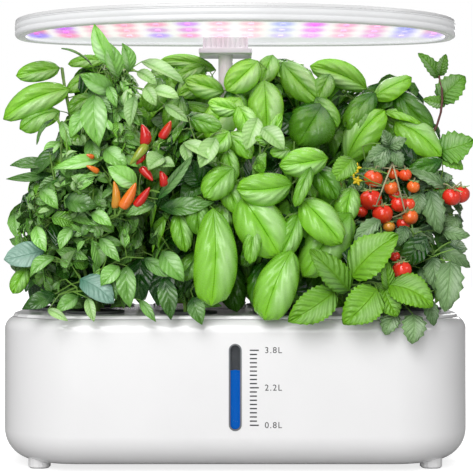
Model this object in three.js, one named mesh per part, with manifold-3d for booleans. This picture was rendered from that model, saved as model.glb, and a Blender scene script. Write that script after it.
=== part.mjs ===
// Countertop hydroponic garden: a white water tank with a level gauge, a lid that carries ten
// planted pods, and a grow lamp on a telescopic pole.
// Millimetres. +Z up, front towards -Y, origin on the table under the middle of the tank.
import * as THREE from 'three';
import { mergeVertices } from 'three/addons/utils/BufferGeometryUtils.js';
import Module from 'manifold-3d';

const wasm = await Module();
wasm.setup();

// Driving dimensions of the whole garden
const gardenWidth = 380;
const gardenDepth = 210;
const gardenHeight = 370;
const foliageHalfWidth = 200;
const foliageHalfDepth = 118;

// Clearances
const gap = 0.3;
const slideGap = 0.5;
const overrun = 2;

// Tank
const planCorner = 65;
const tankUnderside = 6;
const bottomFillet = 25;
const topFillet = 11;
const wall = 3;
const rimTop = 121;
const rimInset = 6.5;
const rimWidth = 3.2;
const footRadius = 9;
const footInsetX = 32;
const footInsetY = 35;
const footEdge = 1.5;

// Deck
const deckTop = 124;
const deckEdgeRound = 2;
const lipDepth = 5;
const lipWidth = 2.5;

// Pods: rows along the front and back, and one pod at each end
const podPitch = gardenWidth / 5;
const frontRowInset = 49;
const frontMiddleInset = 43;
const backRowInset = 47;
const backMiddleInset = 43;
const backPoleOffset = 42;
const endPodInset = 37;
const holeRadius = 20.4;
const flangeRadius = 23.5;
const flangeThickness = 1.8;
const basketWall = 1.4;
const basketFootRadius = 15;
const basketBottom = 78;
const basketDrainRadius = 5;
const basketSlotWidth = 5;
const basketSlotBottom = 88;
const basketSlotTop = 112;
const spongeBottom = 96;
const spongeDrop = 0.6;

// Level gauge
const gaugeWidth = 8.2;
const gaugeBottom = 35.1;
const gaugeTop = 101.5;
const sealWidth = 3;
const sealThickness = 1;
const chamberWall = 4;
const chamberDepth = 9;
const chamberBore = 7.4;
const chamberMargin = 3.6;
const chamberEndWall = 1.2;
const floatRadius = 3.2;
const floatHeight = 7;
const waterLevel = 81.9;

// Pump
const pumpWidth = 46;
const pumpDepth = 38;
const pumpHeight = 30;
const pumpFront = -20;
const pumpCorner = 6;
const voluteRadius = 12.5;
const voluteDepth = 13;
const coverThickness = 2;
const inletRadius = 5;
const impellerRadius = 10.5;
const impellerHub = 3.2;
const shaftRadius = 1.3;
const impellerHeight = 10;
const bladeThickness = 1.4;
const bladeCount = 5;
const nozzleRadius = 5.4;
const nozzleBore = 3.4;
const nozzleHeight = 8;
const hoseWall = 2.2;
const spigotDepth = 13;

// Electronics under the deck
const trayX = 50;
const trayWidth = 56;
const trayDepth = 30;
const trayHeight = 13;
const trayWall = 1.5;
const trayCorner = 4;
const ribWidth = 3;
const ribHeight = 3.5;
const boardThickness = 1.6;
const switchSize = 6;
const switchHeight = 1.1;
const buttonSpacing = 24;
const buttonRadius = 5.5;
const buttonFlange = 7;
const buttonFlangeThickness = 1.6;
const buttonProud = 1.2;
const buttonTravel = 0.8;
const inletX = 40;
const inletBlockWidth = 16;
const inletBlockHeight = 13;
const inletBlockDepth = 19;
const jackLength = 10;
const jackRadius = 5;
const jackBore = 3.75;
const jackFloor = 1.4;

// Refill flap
const portX = -52;
const portWidth = 32;
const portDepth = 22;
const portCorner = 5;
const flapMargin = 2;
const flapThickness = 2.2;
const barrelRadius = 2;
const trunnionRadius = 1;
const trunnionLength = 2.4;
const earThickness = 3.2;
const tabWidth = 10;
const tabDepth = 3;

// Lamp pole
const poleX = -8.5;
const poleY = 22;
const outerTubeRadius = 8.25;
const innerTubeRadius = 6.25;
const tubeWall = 1.5;
const outerTubeTop = 262;
const innerTubeBottom = 134;
const socketRadius = 18;
const socketPlate = 3.5;
const socketBossRadius = 11.8;
const socketHeight = 15;
const socketScrewOffset = 15.1;
const screwRadius = 1.5;
const screwHeadRadius = 2.8;
const screwHeadHeight = 1.6;
const screwLength = 9;
const collarRadius = 10.5;
const collarHeight = 10;
const collarSkirt = 8;

// Lamp
const lampThickness = 14;
const lampEndInset = 2;
const lampFrontDepth = 104;
const lampBackDepth = 52;
const lampFrontPower = 2.1;
const lampBackPower = 3;
const rimWall = 3;
const rimLip = 9;
const rimLipThickness = 2;
const rimHeight = 11;
const coverRound = 1.2;
const ledBoardThickness = 1.6;
const ledColumns = 14;
const ledRows = 3;
const ledSize = 5;
const ledHeight = 1.2;
const ledInsetX = 30;
const ledInsetFront = 34;
const ledInsetBack = 55;
const connectorWidth = 39;
const connectorFlangeWidth = 46;
const connectorFlangeThickness = 4;
const connectorFront = 4;
const connectorBack = 41;
const connectorHeight = 14;
const connectorBore = 11;

// Plant cells: each plant keeps to a box of its own, so that a pod lifts straight out
const frontSplitShift = 8;
const endCellHalfDepth = 28;
const poleStripHalfWidth = 11;
const cellMargin = 0.4;
const liftRoom = 58;
const backPlantRoom = 14;
const tallPlantRoom = 4;
const balmTop = 208;
const swingRoom = 3;
const swingLean = 8;
const tipDroop = 6;
const hollowRise = 4;
const crownRadius = 5;
const stemRadius = 3.2;

// Derived levels
const deckBottom = rimTop + gap;
const lipInset = rimInset + rimWidth + slideGap;
const flangeBottom = deckTop + gap;
const flangeTop = flangeBottom + flangeThickness;
const spongeTop = deckTop - spongeDrop;
const stemBottom = spongeTop + gap;
const tankFloor = tankUnderside + wall;
const lampUnderside = gardenHeight - lampThickness;
const ledBoardBottom = lampUnderside + rimLipThickness + gap;
const lampCoverBottom = lampUnderside + rimHeight + gap;
const connectorTop = ledBoardBottom - gap;
const foliageFloor = flangeTop + slideGap;

// Smoothness of the round forms
const cornerSteps = 6;
const filletSteps = 3;
const basketSides = 10;
const roundSides = 16;
const smallSides = 10;
const lampSides = 36;
const canopySides = 16;

// Geometry helpers

function weld(geometry) {
  const plain = geometry.index ? geometry.toNonIndexed() : geometry.clone();
  plain.deleteAttribute('normal');
  plain.deleteAttribute('uv');
  const merged = mergeVertices(plain);
  const kept = [];
  const index = merged.index.array;
  for (let i = 0; i < index.length; i += 3) {
    const [a, b, c] = [index[i], index[i + 1], index[i + 2]];
    if (a !== b && b !== c && c !== a) kept.push(a, b, c);
  }
  merged.setIndex(kept);
  return merged;
}

function solid(geometry) {
  const welded = weld(geometry);
  const mesh = new wasm.Mesh({
    numProp: 3,
    vertProperties: new Float32Array(welded.attributes.position.array),
    triVerts: new Uint32Array(welded.index.array),
  });
  return new wasm.Manifold(mesh);
}

function geometryOf(manifold) {
  const { vertProperties, triVerts } = manifold.getMesh();
  const geometry = new THREE.BufferGeometry();
  geometry.setAttribute('position', new THREE.BufferAttribute(vertProperties, 3));
  geometry.setIndex(new THREE.BufferAttribute(triVerts, 1));
  return geometry;
}

function union(solids) {
  return solids.reduce((whole, next) => whole.add(next));
}

function cut(body, tools) {
  return tools.reduce((rest, tool) => rest.subtract(tool), body);
}

function largestPiece(body) {
  return body.decompose().reduce((best, piece) => (piece.volume() > best.volume() ? piece : best));
}

// A skin over rings of equally many points, closed by a fan at each end or joined up as a loop.
function loft(rings, isLoop = false) {
  const count = rings[0].length;
  const points = rings.flat();
  const index = [];
  const last = isLoop ? rings.length : rings.length - 1;
  for (let j = 0; j < last; j += 1) {
    const low = j * count;
    const high = ((j + 1) % rings.length) * count;
    for (let i = 0; i < count; i += 1) {
      const next = (i + 1) % count;
      index.push(low + i, low + next, high + next, low + i, high + next, high + i);
    }
  }
  if (!isLoop) {
    const top = (rings.length - 1) * count;
    for (let i = 1; i < count - 1; i += 1) {
      index.push(0, i + 1, i, top, top + i, top + i + 1);
    }
  }
  const geometry = new THREE.BufferGeometry().setFromPoints(points);
  geometry.setIndex(index);
  return geometry;
}

// A turned form about a vertical axis at (x, y) from [radius, height] points, bottom first.
function turned(profile, sides, x = 0, y = 0) {
  const points = profile.map(([radius, height]) => new THREE.Vector2(radius, height));
  const geometry = new THREE.LatheGeometry(points, sides);
  geometry.rotateX(Math.PI / 2);
  geometry.translate(x, y, 0);
  return weld(geometry);
}

function rod(radius, bottom, top, sides, x, y) {
  return turned([[0, bottom], [radius, bottom], [radius, top], [0, top]], sides, x, y);
}

function pipe(outer, inner, bottom, top, sides, x, y) {
  const profile = [[outer, bottom], [outer, top], [inner, top], [inner, bottom], [outer, bottom]];
  return turned(profile, sides, x, y);
}

// A rod along Y with its front end at the given place.
function rodAlongY(radius, front, length, x, z, sides) {
  const geometry = new THREE.CylinderGeometry(radius, radius, length, sides);
  geometry.translate(x, front + length / 2, z);
  return weld(geometry);
}

function rodAlongX(radius, length, x, y, z, sides) {
  const geometry = new THREE.CylinderGeometry(radius, radius, length, sides);
  geometry.rotateZ(Math.PI / 2);
  geometry.translate(x, y, z);
  return weld(geometry);
}

function block(width, depth, bottom, top, x, y) {
  const geometry = new THREE.BoxGeometry(width, depth, top - bottom);
  geometry.translate(x, y, (top + bottom) / 2);
  return weld(geometry);
}

function roundedShape(width, height, corner) {
  const x = width / 2 - corner;
  const y = height / 2 - corner;
  const shape = new THREE.Shape();
  shape.absarc(x, y, corner, 0, Math.PI / 2);
  shape.absarc(-x, y, corner, Math.PI / 2, Math.PI);
  shape.absarc(-x, -y, corner, Math.PI, Math.PI * 1.5);
  shape.absarc(x, -y, corner, Math.PI * 1.5, Math.PI * 2);
  return shape;
}

function upright(shape, bottom, top, x, y, curveSegments = 4) {
  const options = { depth: top - bottom, bevelEnabled: false, curveSegments };
  const geometry = new THREE.ExtrudeGeometry(shape, options);
  geometry.translate(x, y, bottom);
  return weld(geometry);
}

// A shape seen from the front, run from one depth to another.
function facing(shape, front, back, x, z, curveSegments = 4) {
  const options = { depth: back - front, bevelEnabled: false, curveSegments };
  const geometry = new THREE.ExtrudeGeometry(shape, options);
  geometry.rotateX(Math.PI / 2);
  geometry.translate(x, back, z);
  return weld(geometry);
}

// Plan outlines

// The rounded plan of the tank, drawn in by an inset.
function tankRing(inset, height) {
  const radius = planCorner - inset;
  const x = gardenWidth / 2 - planCorner;
  const y = gardenDepth / 2 - planCorner;
  const corners = [[x, y], [-x, y], [-x, -y], [x, -y]];
  return corners.flatMap(([cornerX, cornerY], quarter) => {
    const points = [];
    for (let step = 0; step <= cornerSteps; step += 1) {
      const angle = (quarter + step / cornerSteps) * Math.PI / 2;
      const pointX = cornerX + radius * Math.cos(angle);
      const pointY = cornerY + radius * Math.sin(angle);
      points.push(new THREE.Vector3(pointX, pointY, height));
    }
    return points;
  });
}

// The lamp's plan: a long oval, rounder in front than behind.
function lampRing(inset, height) {
  const halfWidth = gardenWidth / 2 - lampEndInset - inset;
  const points = [];
  for (let side = 0; side < lampSides; side += 1) {
    const angle = 2 * Math.PI * side / lampSides;
    const isFront = Math.sin(angle) < 0;
    const power = isFront ? lampFrontPower : lampBackPower;
    const halfDepth = (isFront ? lampFrontDepth : lampBackDepth) - inset;
    const x = halfWidth * Math.sign(Math.cos(angle)) * Math.abs(Math.cos(angle)) ** (2 / power);
    const y = halfDepth * Math.sign(Math.sin(angle)) * Math.abs(Math.sin(angle)) ** (2 / power);
    points.push(new THREE.Vector3(x, y, height));
  }
  return points;
}

// Tank

function tankOuterRings(grow) {
  const rings = [];
  for (let step = 0; step <= filletSteps; step += 1) {
    const angle = Math.PI / 2 * step / filletSteps;
    const inset = bottomFillet * (1 - Math.sin(angle)) - grow;
    const height = tankUnderside - grow + bottomFillet * (1 - Math.cos(angle));
    rings.push(tankRing(inset, height));
  }
  const reach = Math.acos(1 - rimInset / topFillet);
  const shoulder = rimTop - topFillet * Math.sin(reach);
  for (let step = 0; step <= filletSteps; step += 1) {
    const angle = reach * step / filletSteps;
    const inset = topFillet * (1 - Math.cos(angle)) - grow;
    rings.push(tankRing(inset, shoulder + topFillet * Math.sin(angle)));
  }
  return rings;
}

function tankShell() {
  const rings = tankOuterRings(0);
  const innerInset = rimInset + rimWidth;
  const innerShoulder = rimTop - topFillet - wall;
  rings.push(tankRing(innerInset, rimTop));
  rings.push(tankRing(innerInset, rimTop - lipDepth - wall));
  rings.push(tankRing(wall, innerShoulder));
  const radius = bottomFillet - wall;
  for (let step = filletSteps; step >= 0; step -= 1) {
    const angle = Math.PI / 2 * step / filletSteps;
    const inset = wall + radius * (1 - Math.sin(angle));
    rings.push(tankRing(inset, tankFloor + radius * (1 - Math.cos(angle))));
  }
  const tankFront = -gardenDepth / 2;
  const windowHole = gaugeCapsule(gap, tankFront - overrun, tankFront + wall + overrun);
  const notchBottom = deckBottom - inletBlockHeight - slideGap;
  const notchWidth = inletBlockWidth + 2 * slideGap;
  const notchDepth = planCorner;
  const notch = block(notchWidth, notchDepth, notchBottom, rimTop + overrun, inletX, gardenDepth / 2);
  return geometryOf(cut(solid(loft(rings)), [solid(windowHole), solid(notch)]));
}

function foot(x, y) {
  const profile = [
    [0, 0], [footRadius - footEdge, 0], [footRadius, footEdge],
    [footRadius, bottomFillet], [0, bottomFillet],
  ];
  const stub = solid(turned(profile, roundSides, x, y));
  const above = tankRing(bottomFillet, rimTop);
  const tank = solid(loft([...tankOuterRings(gap), above]));
  return geometryOf(largestPiece(stub.subtract(tank)));
}

// Level gauge

function gaugeCapsule(grow, front, back) {
  const width = gaugeWidth + 2 * grow;
  const height = gaugeTop - gaugeBottom + 2 * grow;
  const shape = roundedShape(width, height, width / 2);
  return facing(shape, front, back, 0, (gaugeTop + gaugeBottom) / 2);
}

function gaugeWindow() {
  const front = -gardenDepth / 2;
  return gaugeCapsule(0, front, front + wall);
}

const sealFront = -gardenDepth / 2 + wall + gap;
const chamberFront = sealFront + sealThickness + gap;
const boreCentreY = chamberFront + chamberBore / 2;

function gaugeSeal() {
  const back = sealFront + sealThickness;
  const ring = solid(gaugeCapsule(sealWidth, sealFront, back));
  const hole = solid(gaugeCapsule(gap, sealFront - overrun, back + overrun));
  return geometryOf(ring.subtract(hole));
}

function floatChamber() {
  const width = chamberBore + 2 * chamberWall;
  const bottom = gaugeBottom - chamberMargin;
  const top = gaugeTop + chamberMargin;
  const middleY = chamberFront + chamberDepth / 2;
  const lowest = bottom - chamberEndWall;
  const highest = top + chamberEndWall;
  const outside = block(width, chamberDepth, lowest, highest, 0, middleY);
  const channel = block(chamberBore, 2 * chamberBore, bottom, top, 0, chamberFront);
  const ports = rod(chamberBore / 4, bottom - overrun, top + overrun, smallSides, 0, boreCentreY);
  return geometryOf(cut(solid(outside), [solid(channel), solid(ports)]));
}

function gaugeFloat() {
  const bottom = waterLevel - floatHeight;
  const edge = floatRadius / 3;
  const profile = [
    [0, bottom], [floatRadius - edge, bottom], [floatRadius, bottom + edge],
    [floatRadius, waterLevel - edge], [floatRadius - edge, waterLevel], [0, waterLevel],
  ];
  return turned(profile, smallSides, 0, boreCentreY);
}

// Pump on the tank floor

const pumpBottom = tankFloor + gap;
const pumpTop = pumpBottom + pumpHeight;
const pumpAxisZ = pumpBottom + pumpHeight / 2;
const pumpBodyFront = pumpFront + coverThickness + gap;
const nozzleY = pumpBodyFront + voluteDepth / 2;

function pumpHousing() {
  const centreY = pumpBodyFront + pumpDepth / 2;
  const shape = roundedShape(pumpWidth, pumpDepth, pumpCorner);
  const body = solid(upright(shape, pumpBottom, pumpTop, 0, centreY));
  const nozzleTop = pumpTop + nozzleHeight;
  const nozzle = solid(rod(nozzleRadius, pumpTop - overrun, nozzleTop, smallSides, 0, nozzleY));
  const bore = solid(rod(nozzleBore, pumpAxisZ, nozzleTop + overrun, smallSides, 0, nozzleY));
  const voluteFront = pumpBodyFront - overrun;
  const voluteLength = voluteDepth + overrun;
  const volute = solid(rodAlongY(voluteRadius, voluteFront, voluteLength, 0, pumpAxisZ, roundSides));
  const shaft = solid(rodAlongY(shaftRadius, pumpBodyFront, voluteLength, 0, pumpAxisZ, smallSides));
  return geometryOf(cut(body.add(nozzle), [volute, bore]).add(shaft));
}

function pumpCover() {
  const shape = roundedShape(pumpWidth - 2 * pumpCorner, pumpHeight, pumpCorner);
  const hole = new THREE.Path().absarc(0, 0, inletRadius, 0, 2 * Math.PI, true);
  shape.holes.push(hole);
  return facing(shape, pumpFront, pumpFront + coverThickness, 0, pumpAxisZ, 4);
}

function pumpImpeller() {
  const front = pumpBodyFront + (voluteDepth - impellerHeight) / 2;
  const hub = solid(rodAlongY(impellerHub, front, impellerHeight, 0, 0, smallSides));
  const blades = [];
  for (let blade = 0; blade < bladeCount; blade += 1) {
    const vane = block(impellerRadius, impellerHeight, 0, bladeThickness, impellerRadius / 2, 0);
    vane.translate(0, front + impellerHeight / 2, -bladeThickness / 2);
    vane.rotateY(2 * Math.PI * blade / bladeCount);
    blades.push(solid(vane));
  }
  const bore = solid(rodAlongY(shaftRadius + gap, pumpBodyFront, voluteDepth, 0, 0, smallSides));
  const impeller = geometryOf(union([hub, ...blades]).subtract(bore));
  impeller.translate(0, 0, pumpAxisZ);
  return impeller;
}

function riserHose() {
  const inner = nozzleRadius + gap;
  return pipe(inner + hoseWall, inner, pumpTop + gap, deckBottom - gap, smallSides, 0, nozzleY);
}

// Deck

const outerPodX = 3 * podPitch / 2;
const endPodX = gardenWidth / 2 - endPodInset;
const frontRowY = frontRowInset - gardenDepth / 2;
const frontMiddleY = frontMiddleInset - gardenDepth / 2;
const backRowY = gardenDepth / 2 - backRowInset;
const backMiddleY = gardenDepth / 2 - backMiddleInset;
const pods = [
  { name: 'front_1', x: -outerPodX, y: frontRowY },
  { name: 'front_2', x: -podPitch / 2, y: frontMiddleY },
  { name: 'front_3', x: podPitch / 2, y: frontMiddleY },
  { name: 'front_4', x: outerPodX, y: frontRowY },
  { name: 'end_1', x: -endPodX, y: 0 },
  { name: 'end_2', x: endPodX, y: 0 },
  { name: 'back_1', x: -outerPodX, y: backRowY },
  { name: 'back_2', x: poleX - backPoleOffset, y: backMiddleY },
  { name: 'back_3', x: poleX + backPoleOffset, y: backMiddleY },
  { name: 'back_4', x: outerPodX, y: backRowY },
];

const buttonPlaces = {
  mode_button: trayX - buttonSpacing / 2,
  pump_button: trayX + buttonSpacing / 2,
};
const earX = portWidth / 2 - flapMargin;
const hingeY = portDepth / 2 + flapMargin + barrelRadius;
const hingeZ = deckTop + gap + barrelRadius;
const flapFront = -portDepth / 2 - flapMargin;

function deckPanel() {
  const plate = solid(loft([
    tankRing(rimInset, deckBottom),
    tankRing(rimInset, deckTop - deckEdgeRound),
    tankRing(rimInset + deckEdgeRound / 3, deckTop - deckEdgeRound / 3),
    tankRing(rimInset + deckEdgeRound, deckTop),
  ]));
  const lipBottom = deckBottom - lipDepth;
  const lip = solid(loft([
    tankRing(lipInset, lipBottom),
    tankRing(lipInset, deckBottom + gap),
    tankRing(lipInset + lipWidth, deckBottom + gap),
    tankRing(lipInset + lipWidth, lipBottom),
  ], true));
  const spigotBottom = deckBottom - spigotDepth;
  const spigot = solid(rod(nozzleRadius, spigotBottom, deckBottom + gap, smallSides, 0, nozzleY));
  const ears = [-1, 1].map((side) => solid(deckEar(side)));
  const under = deckBottom - overrun;
  const above = deckTop + overrun;
  const cuts = pods.map((pod) => {
    return rod(holeRadius, basketBottom, above, roundSides, pod.x, pod.y);
  });
  const portShape = roundedShape(portWidth - 2 * flapMargin, portDepth, portCorner);
  cuts.push(upright(portShape, under, above, portX, 0));
  for (const x of Object.values(buttonPlaces)) {
    cuts.push(rod(buttonRadius + gap, under, above, smallSides, x, 0));
  }
  for (const side of [-1, 1]) {
    const x = poleX + side * socketScrewOffset;
    cuts.push(rod(screwRadius + gap, under, above, smallSides, x, poleY));
  }
  cuts.push(rod(nozzleBore, spigotBottom - overrun, above, smallSides, 0, nozzleY));
  cuts.push(rodAlongX(trunnionRadius + gap, 2 * portWidth, portX, hingeY, hingeZ, smallSides));
  const jackRoom = jackRadius + gap;
  cuts.push(rodAlongY(jackRoom, jackFront - gap, inletBlockDepth, inletX, inletZ, roundSides));
  return geometryOf(cut(union([plate, lip, inletBlock(), spigot, ...ears]), cuts.map(solid)));
}

function deckEar(side) {
  const x = portX + side * (earX + gap + earThickness / 2);
  return block(earThickness, 2 * barrelRadius, deckTop - gap, hingeZ + barrelRadius, x, hingeY);
}

const inletBlockBack = gardenDepth / 2;
const inletZ = deckBottom - inletBlockHeight / 2;
const jackFront = inletBlockBack - rimInset - jackLength;

function inletBlock() {
  const y = inletBlockBack - inletBlockDepth / 2;
  const bottom = deckBottom - inletBlockHeight;
  const body = solid(block(inletBlockWidth, inletBlockDepth, bottom, deckBottom + gap, inletX, y));
  const envelope = solid(loft([...tankOuterRings(0), tankRing(rimInset, deckTop)]));
  return body.intersect(envelope);
}

function dcInlet() {
  const body = rodAlongY(jackRadius, jackFront, jackLength, inletX, inletZ, roundSides);
  const bore = rodAlongY(jackBore, jackFront + jackFloor, jackLength, inletX, inletZ, roundSides);
  return geometryOf(solid(body).subtract(solid(bore)));
}

function fillCap() {
  const bottom = deckTop + gap;
  const depth = hingeY - flapFront;
  const shape = roundedShape(portWidth, depth, portCorner);
  const flap = solid(upright(shape, bottom, bottom + flapThickness, portX, flapFront + depth / 2));
  const tab = solid(block(tabWidth, 2 * tabDepth, bottom, bottom + flapThickness, portX, flapFront));
  const barrelLength = 2 * earX;
  const pinLength = barrelLength + 2 * trunnionLength;
  const barrel = solid(rodAlongX(barrelRadius, barrelLength, portX, hingeY, hingeZ, smallSides));
  const pin = solid(rodAlongX(trunnionRadius, pinLength, portX, hingeY, hingeZ, smallSides));
  const trimmed = cut(flap, [-1, 1].map((side) => solid(earClearance(side))));
  return geometryOf(union([trimmed, tab, barrel, pin]));
}

// Room in the flap's rear corners for the deck's ears, past the ears' own corners.
function earClearance(side) {
  const x = portX + side * (earX + earThickness / 2 + gap);
  const depth = 2 * (Math.SQRT2 * barrelRadius + slideGap);
  return block(earThickness + 2 * gap, depth, deckTop, hingeZ + overrun, x, hingeY);
}

// Electronics

const trayTop = deckBottom - gap;
const trayFloor = trayTop - trayHeight + trayWall;
const boardBottom = trayFloor + ribHeight + gap;
const boardTop = boardBottom + boardThickness;

function boardCover() {
  const outline = roundedShape(trayWidth, trayDepth, trayCorner);
  const outer = solid(upright(outline, trayTop - trayHeight, trayTop, trayX, 0));
  const insideWidth = trayWidth - 2 * trayWall;
  const insideDepth = trayDepth - 2 * trayWall;
  const hollow = roundedShape(insideWidth, insideDepth, trayCorner - trayWall);
  const inside = solid(upright(hollow, trayFloor, trayTop + overrun, trayX, 0));
  const ribBottom = trayFloor - trayWall / 2;
  const ribTop = trayFloor + ribHeight;
  const ribs = [-1, 1].map((side) => {
    const x = trayX + side * buttonSpacing / 2;
    return solid(block(ribWidth, insideDepth + trayWall, ribBottom, ribTop, x, 0));
  });
  return geometryOf(union([outer.subtract(inside), ...ribs]));
}

function driverBoard() {
  const width = trayWidth - 2 * (trayWall + slideGap);
  const depth = trayDepth - 2 * (trayWall + slideGap);
  const shape = roundedShape(width, depth, trayCorner - trayWall);
  const board = solid(upright(shape, boardBottom, boardTop, trayX, 0));
  const switches = Object.values(buttonPlaces).map((x) => {
    return solid(block(switchSize, switchSize, boardTop - gap, boardTop + switchHeight, x, 0));
  });
  return geometryOf(union([board, ...switches]));
}

function pressButton(x) {
  const flangeLow = boardTop + switchHeight + buttonTravel + gap;
  const flangeHigh = flangeLow + buttonFlangeThickness;
  const top = deckTop + buttonProud;
  const edge = buttonProud / 2;
  const profile = [
    [0, flangeLow], [buttonFlange, flangeLow], [buttonFlange, flangeHigh],
    [buttonRadius, flangeHigh], [buttonRadius, top - edge], [buttonRadius - edge, top], [0, top],
  ];
  return turned(profile, roundSides, x, 0);
}

// Pole and lamp

function poleSocket() {
  const bottom = deckTop + gap;
  const plateTop = bottom + socketPlate;
  const top = bottom + socketHeight;
  const bore = outerTubeRadius + gap;
  const profile = [
    [bore, bottom], [socketRadius, bottom], [socketRadius, plateTop], [socketBossRadius, plateTop],
    [socketBossRadius, top], [bore, top], [bore, bottom],
  ];
  const body = solid(turned(profile, 2 * smallSides, poleX, poleY));
  const holes = [-1, 1].map((side) => {
    const x = poleX + side * socketScrewOffset;
    return solid(rod(screwRadius + gap, bottom - overrun, plateTop + overrun, smallSides, x, poleY));
  });
  return geometryOf(cut(body, holes));
}

function socketScrew(side) {
  const seat = deckTop + gap + socketPlate + gap;
  const edge = screwHeadHeight / 3;
  const profile = [
    [0, seat - screwLength], [screwRadius, seat - screwLength], [screwRadius, seat],
    [screwHeadRadius, seat], [screwHeadRadius, seat + screwHeadHeight - edge],
    [screwHeadRadius - edge, seat + screwHeadHeight], [0, seat + screwHeadHeight],
  ];
  return turned(profile, smallSides, poleX + side * socketScrewOffset, poleY);
}

function poleCollar() {
  const bottom = outerTubeTop - collarSkirt;
  const top = outerTubeTop + collarHeight;
  const seat = outerTubeTop + gap;
  const grip = innerTubeRadius + gap;
  const skirt = outerTubeRadius + gap;
  const profile = [
    [skirt, bottom], [collarRadius, bottom], [collarRadius, top], [grip, top],
    [grip, seat], [skirt, seat], [skirt, bottom],
  ];
  return turned(profile, roundSides, poleX, poleY);
}

const connectorBottom = connectorTop - connectorHeight;

function poleOuter() {
  const bottom = deckTop + gap;
  const inner = innerTubeRadius + gap;
  return pipe(outerTubeRadius, inner, bottom, outerTubeTop, roundSides, poleX, poleY);
}

function poleInner() {
  const top = connectorBottom + connectorBore - gap;
  const inner = innerTubeRadius - tubeWall;
  return pipe(innerTubeRadius, inner, innerTubeBottom, top, roundSides, poleX, poleY);
}

function lampConnector() {
  const centreY = (connectorFront + connectorBack) / 2;
  const depth = connectorBack - connectorFront;
  const bottom = connectorBottom;
  const flangeTopZ = bottom + connectorFlangeThickness;
  const flangeDepth = depth + connectorFlangeThickness;
  const body = solid(block(connectorWidth, depth, bottom, connectorTop, poleX, centreY));
  const flange = solid(block(connectorFlangeWidth, flangeDepth, bottom, flangeTopZ, poleX, centreY));
  const boreRadius = innerTubeRadius + gap;
  const bore = rod(boreRadius, bottom - overrun, bottom + connectorBore, roundSides, poleX, poleY);
  return geometryOf(body.add(flange).subtract(solid(bore)));
}

function lampRim() {
  const top = lampUnderside + rimHeight;
  const lipTop = lampUnderside + rimLipThickness;
  return weld(loft([
    lampRing(rimWall / 2, lampUnderside),
    lampRing(0, lampUnderside + rimWall / 2),
    lampRing(0, top),
    lampRing(rimWall, top),
    lampRing(rimWall, lipTop),
    lampRing(rimLip, lipTop),
    lampRing(rimLip, lampUnderside),
  ], true));
}

function lampCover() {
  return weld(loft([
    lampRing(0, lampCoverBottom),
    lampRing(0, gardenHeight - coverRound),
    lampRing(coverRound, gardenHeight),
  ]));
}

function ledBoard() {
  const inset = rimWall + gap;
  const top = ledBoardBottom + ledBoardThickness;
  const plate = solid(loft([lampRing(inset, ledBoardBottom), lampRing(inset, top)]));
  const chipBottom = ledBoardBottom - ledHeight;
  const chipTop = ledBoardBottom + gap;
  const spread = gardenWidth - 2 * ledInsetX;
  const frontY = ledInsetFront - lampFrontDepth;
  const backY = lampBackDepth - ledInsetBack;
  const chips = [];
  for (let column = 0; column < ledColumns; column += 1) {
    for (let row = 0; row < ledRows; row += 1) {
      const x = spread * (column / (ledColumns - 1) - 0.5);
      const ovalShare = Math.sqrt(1 - (2 * x / gardenWidth) ** 2);
      const y = THREE.MathUtils.lerp(frontY, backY, row / (ledRows - 1)) * ovalShare;
      chips.push(solid(block(ledSize, ledSize, chipBottom, chipTop, x, y)));
    }
  }
  return geometryOf(union([plate, ...chips]));
}

// Pods

// How far down the basket's slanted side a height lies, from 0 at the deck to 1 at the foot.
function basketRadius(height) {
  const top = holeRadius - slideGap;
  const share = (deckTop - height) / (deckTop - basketBottom);
  return top + (basketFootRadius - top) * share;
}

function basket(pod) {
  const floorTop = basketBottom + basketWall;
  const profile = [
    [basketDrainRadius, basketBottom], [basketFootRadius, basketBottom],
    [basketRadius(flangeBottom), flangeBottom], [flangeRadius, flangeBottom],
    [flangeRadius, flangeTop], [basketRadius(flangeTop) - basketWall, flangeTop],
    [basketRadius(floorTop) - basketWall, floorTop],
    [basketDrainRadius, floorTop], [basketDrainRadius, basketBottom],
  ];
  const body = solid(turned(profile, basketSides, pod.x, pod.y));
  const length = 2 * flangeRadius;
  const slots = [[length, basketSlotWidth], [basketSlotWidth, length]].map(([width, depth]) => {
    return solid(block(width, depth, basketSlotBottom, basketSlotTop, pod.x, pod.y));
  });
  return geometryOf(cut(body, slots));
}

function sponge(pod) {
  const inner = basketWall + slideGap;
  const profile = [
    [0, spongeBottom], [basketRadius(spongeBottom) - inner, spongeBottom],
    [basketRadius(spongeTop) - inner, spongeTop], [0, spongeTop],
  ];
  return turned(profile, basketSides, pod.x, pod.y);
}

// Plants
// A plant is a stem under a leafy canopy that fills most of its own cell. Each ring of the canopy
// zigzags between leaf tips, which hang down and out, and the hollows between them.

const streamFactor = 16807;
const streamModulus = 2147483647;

function randomStream(seed) {
  let state = seed;
  return () => {
    state = (state * streamFactor) % streamModulus;
    return state / streamModulus;
  };
}

const lowPlantTop = lampUnderside - liftRoom;
const backPlantTop = lampUnderside - backPlantRoom;
const tallPlantTop = lampUnderside - tallPlantRoom;
const frontSplitX = podPitch - frontSplitShift;
const poleLeft = poleX - poleStripHalfWidth;
const poleRight = poleX + poleStripHalfWidth;
const swingFront = flapFront - tabDepth - swingRoom;
const swingBack = hingeY + swingLean + swingRoom;

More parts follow.
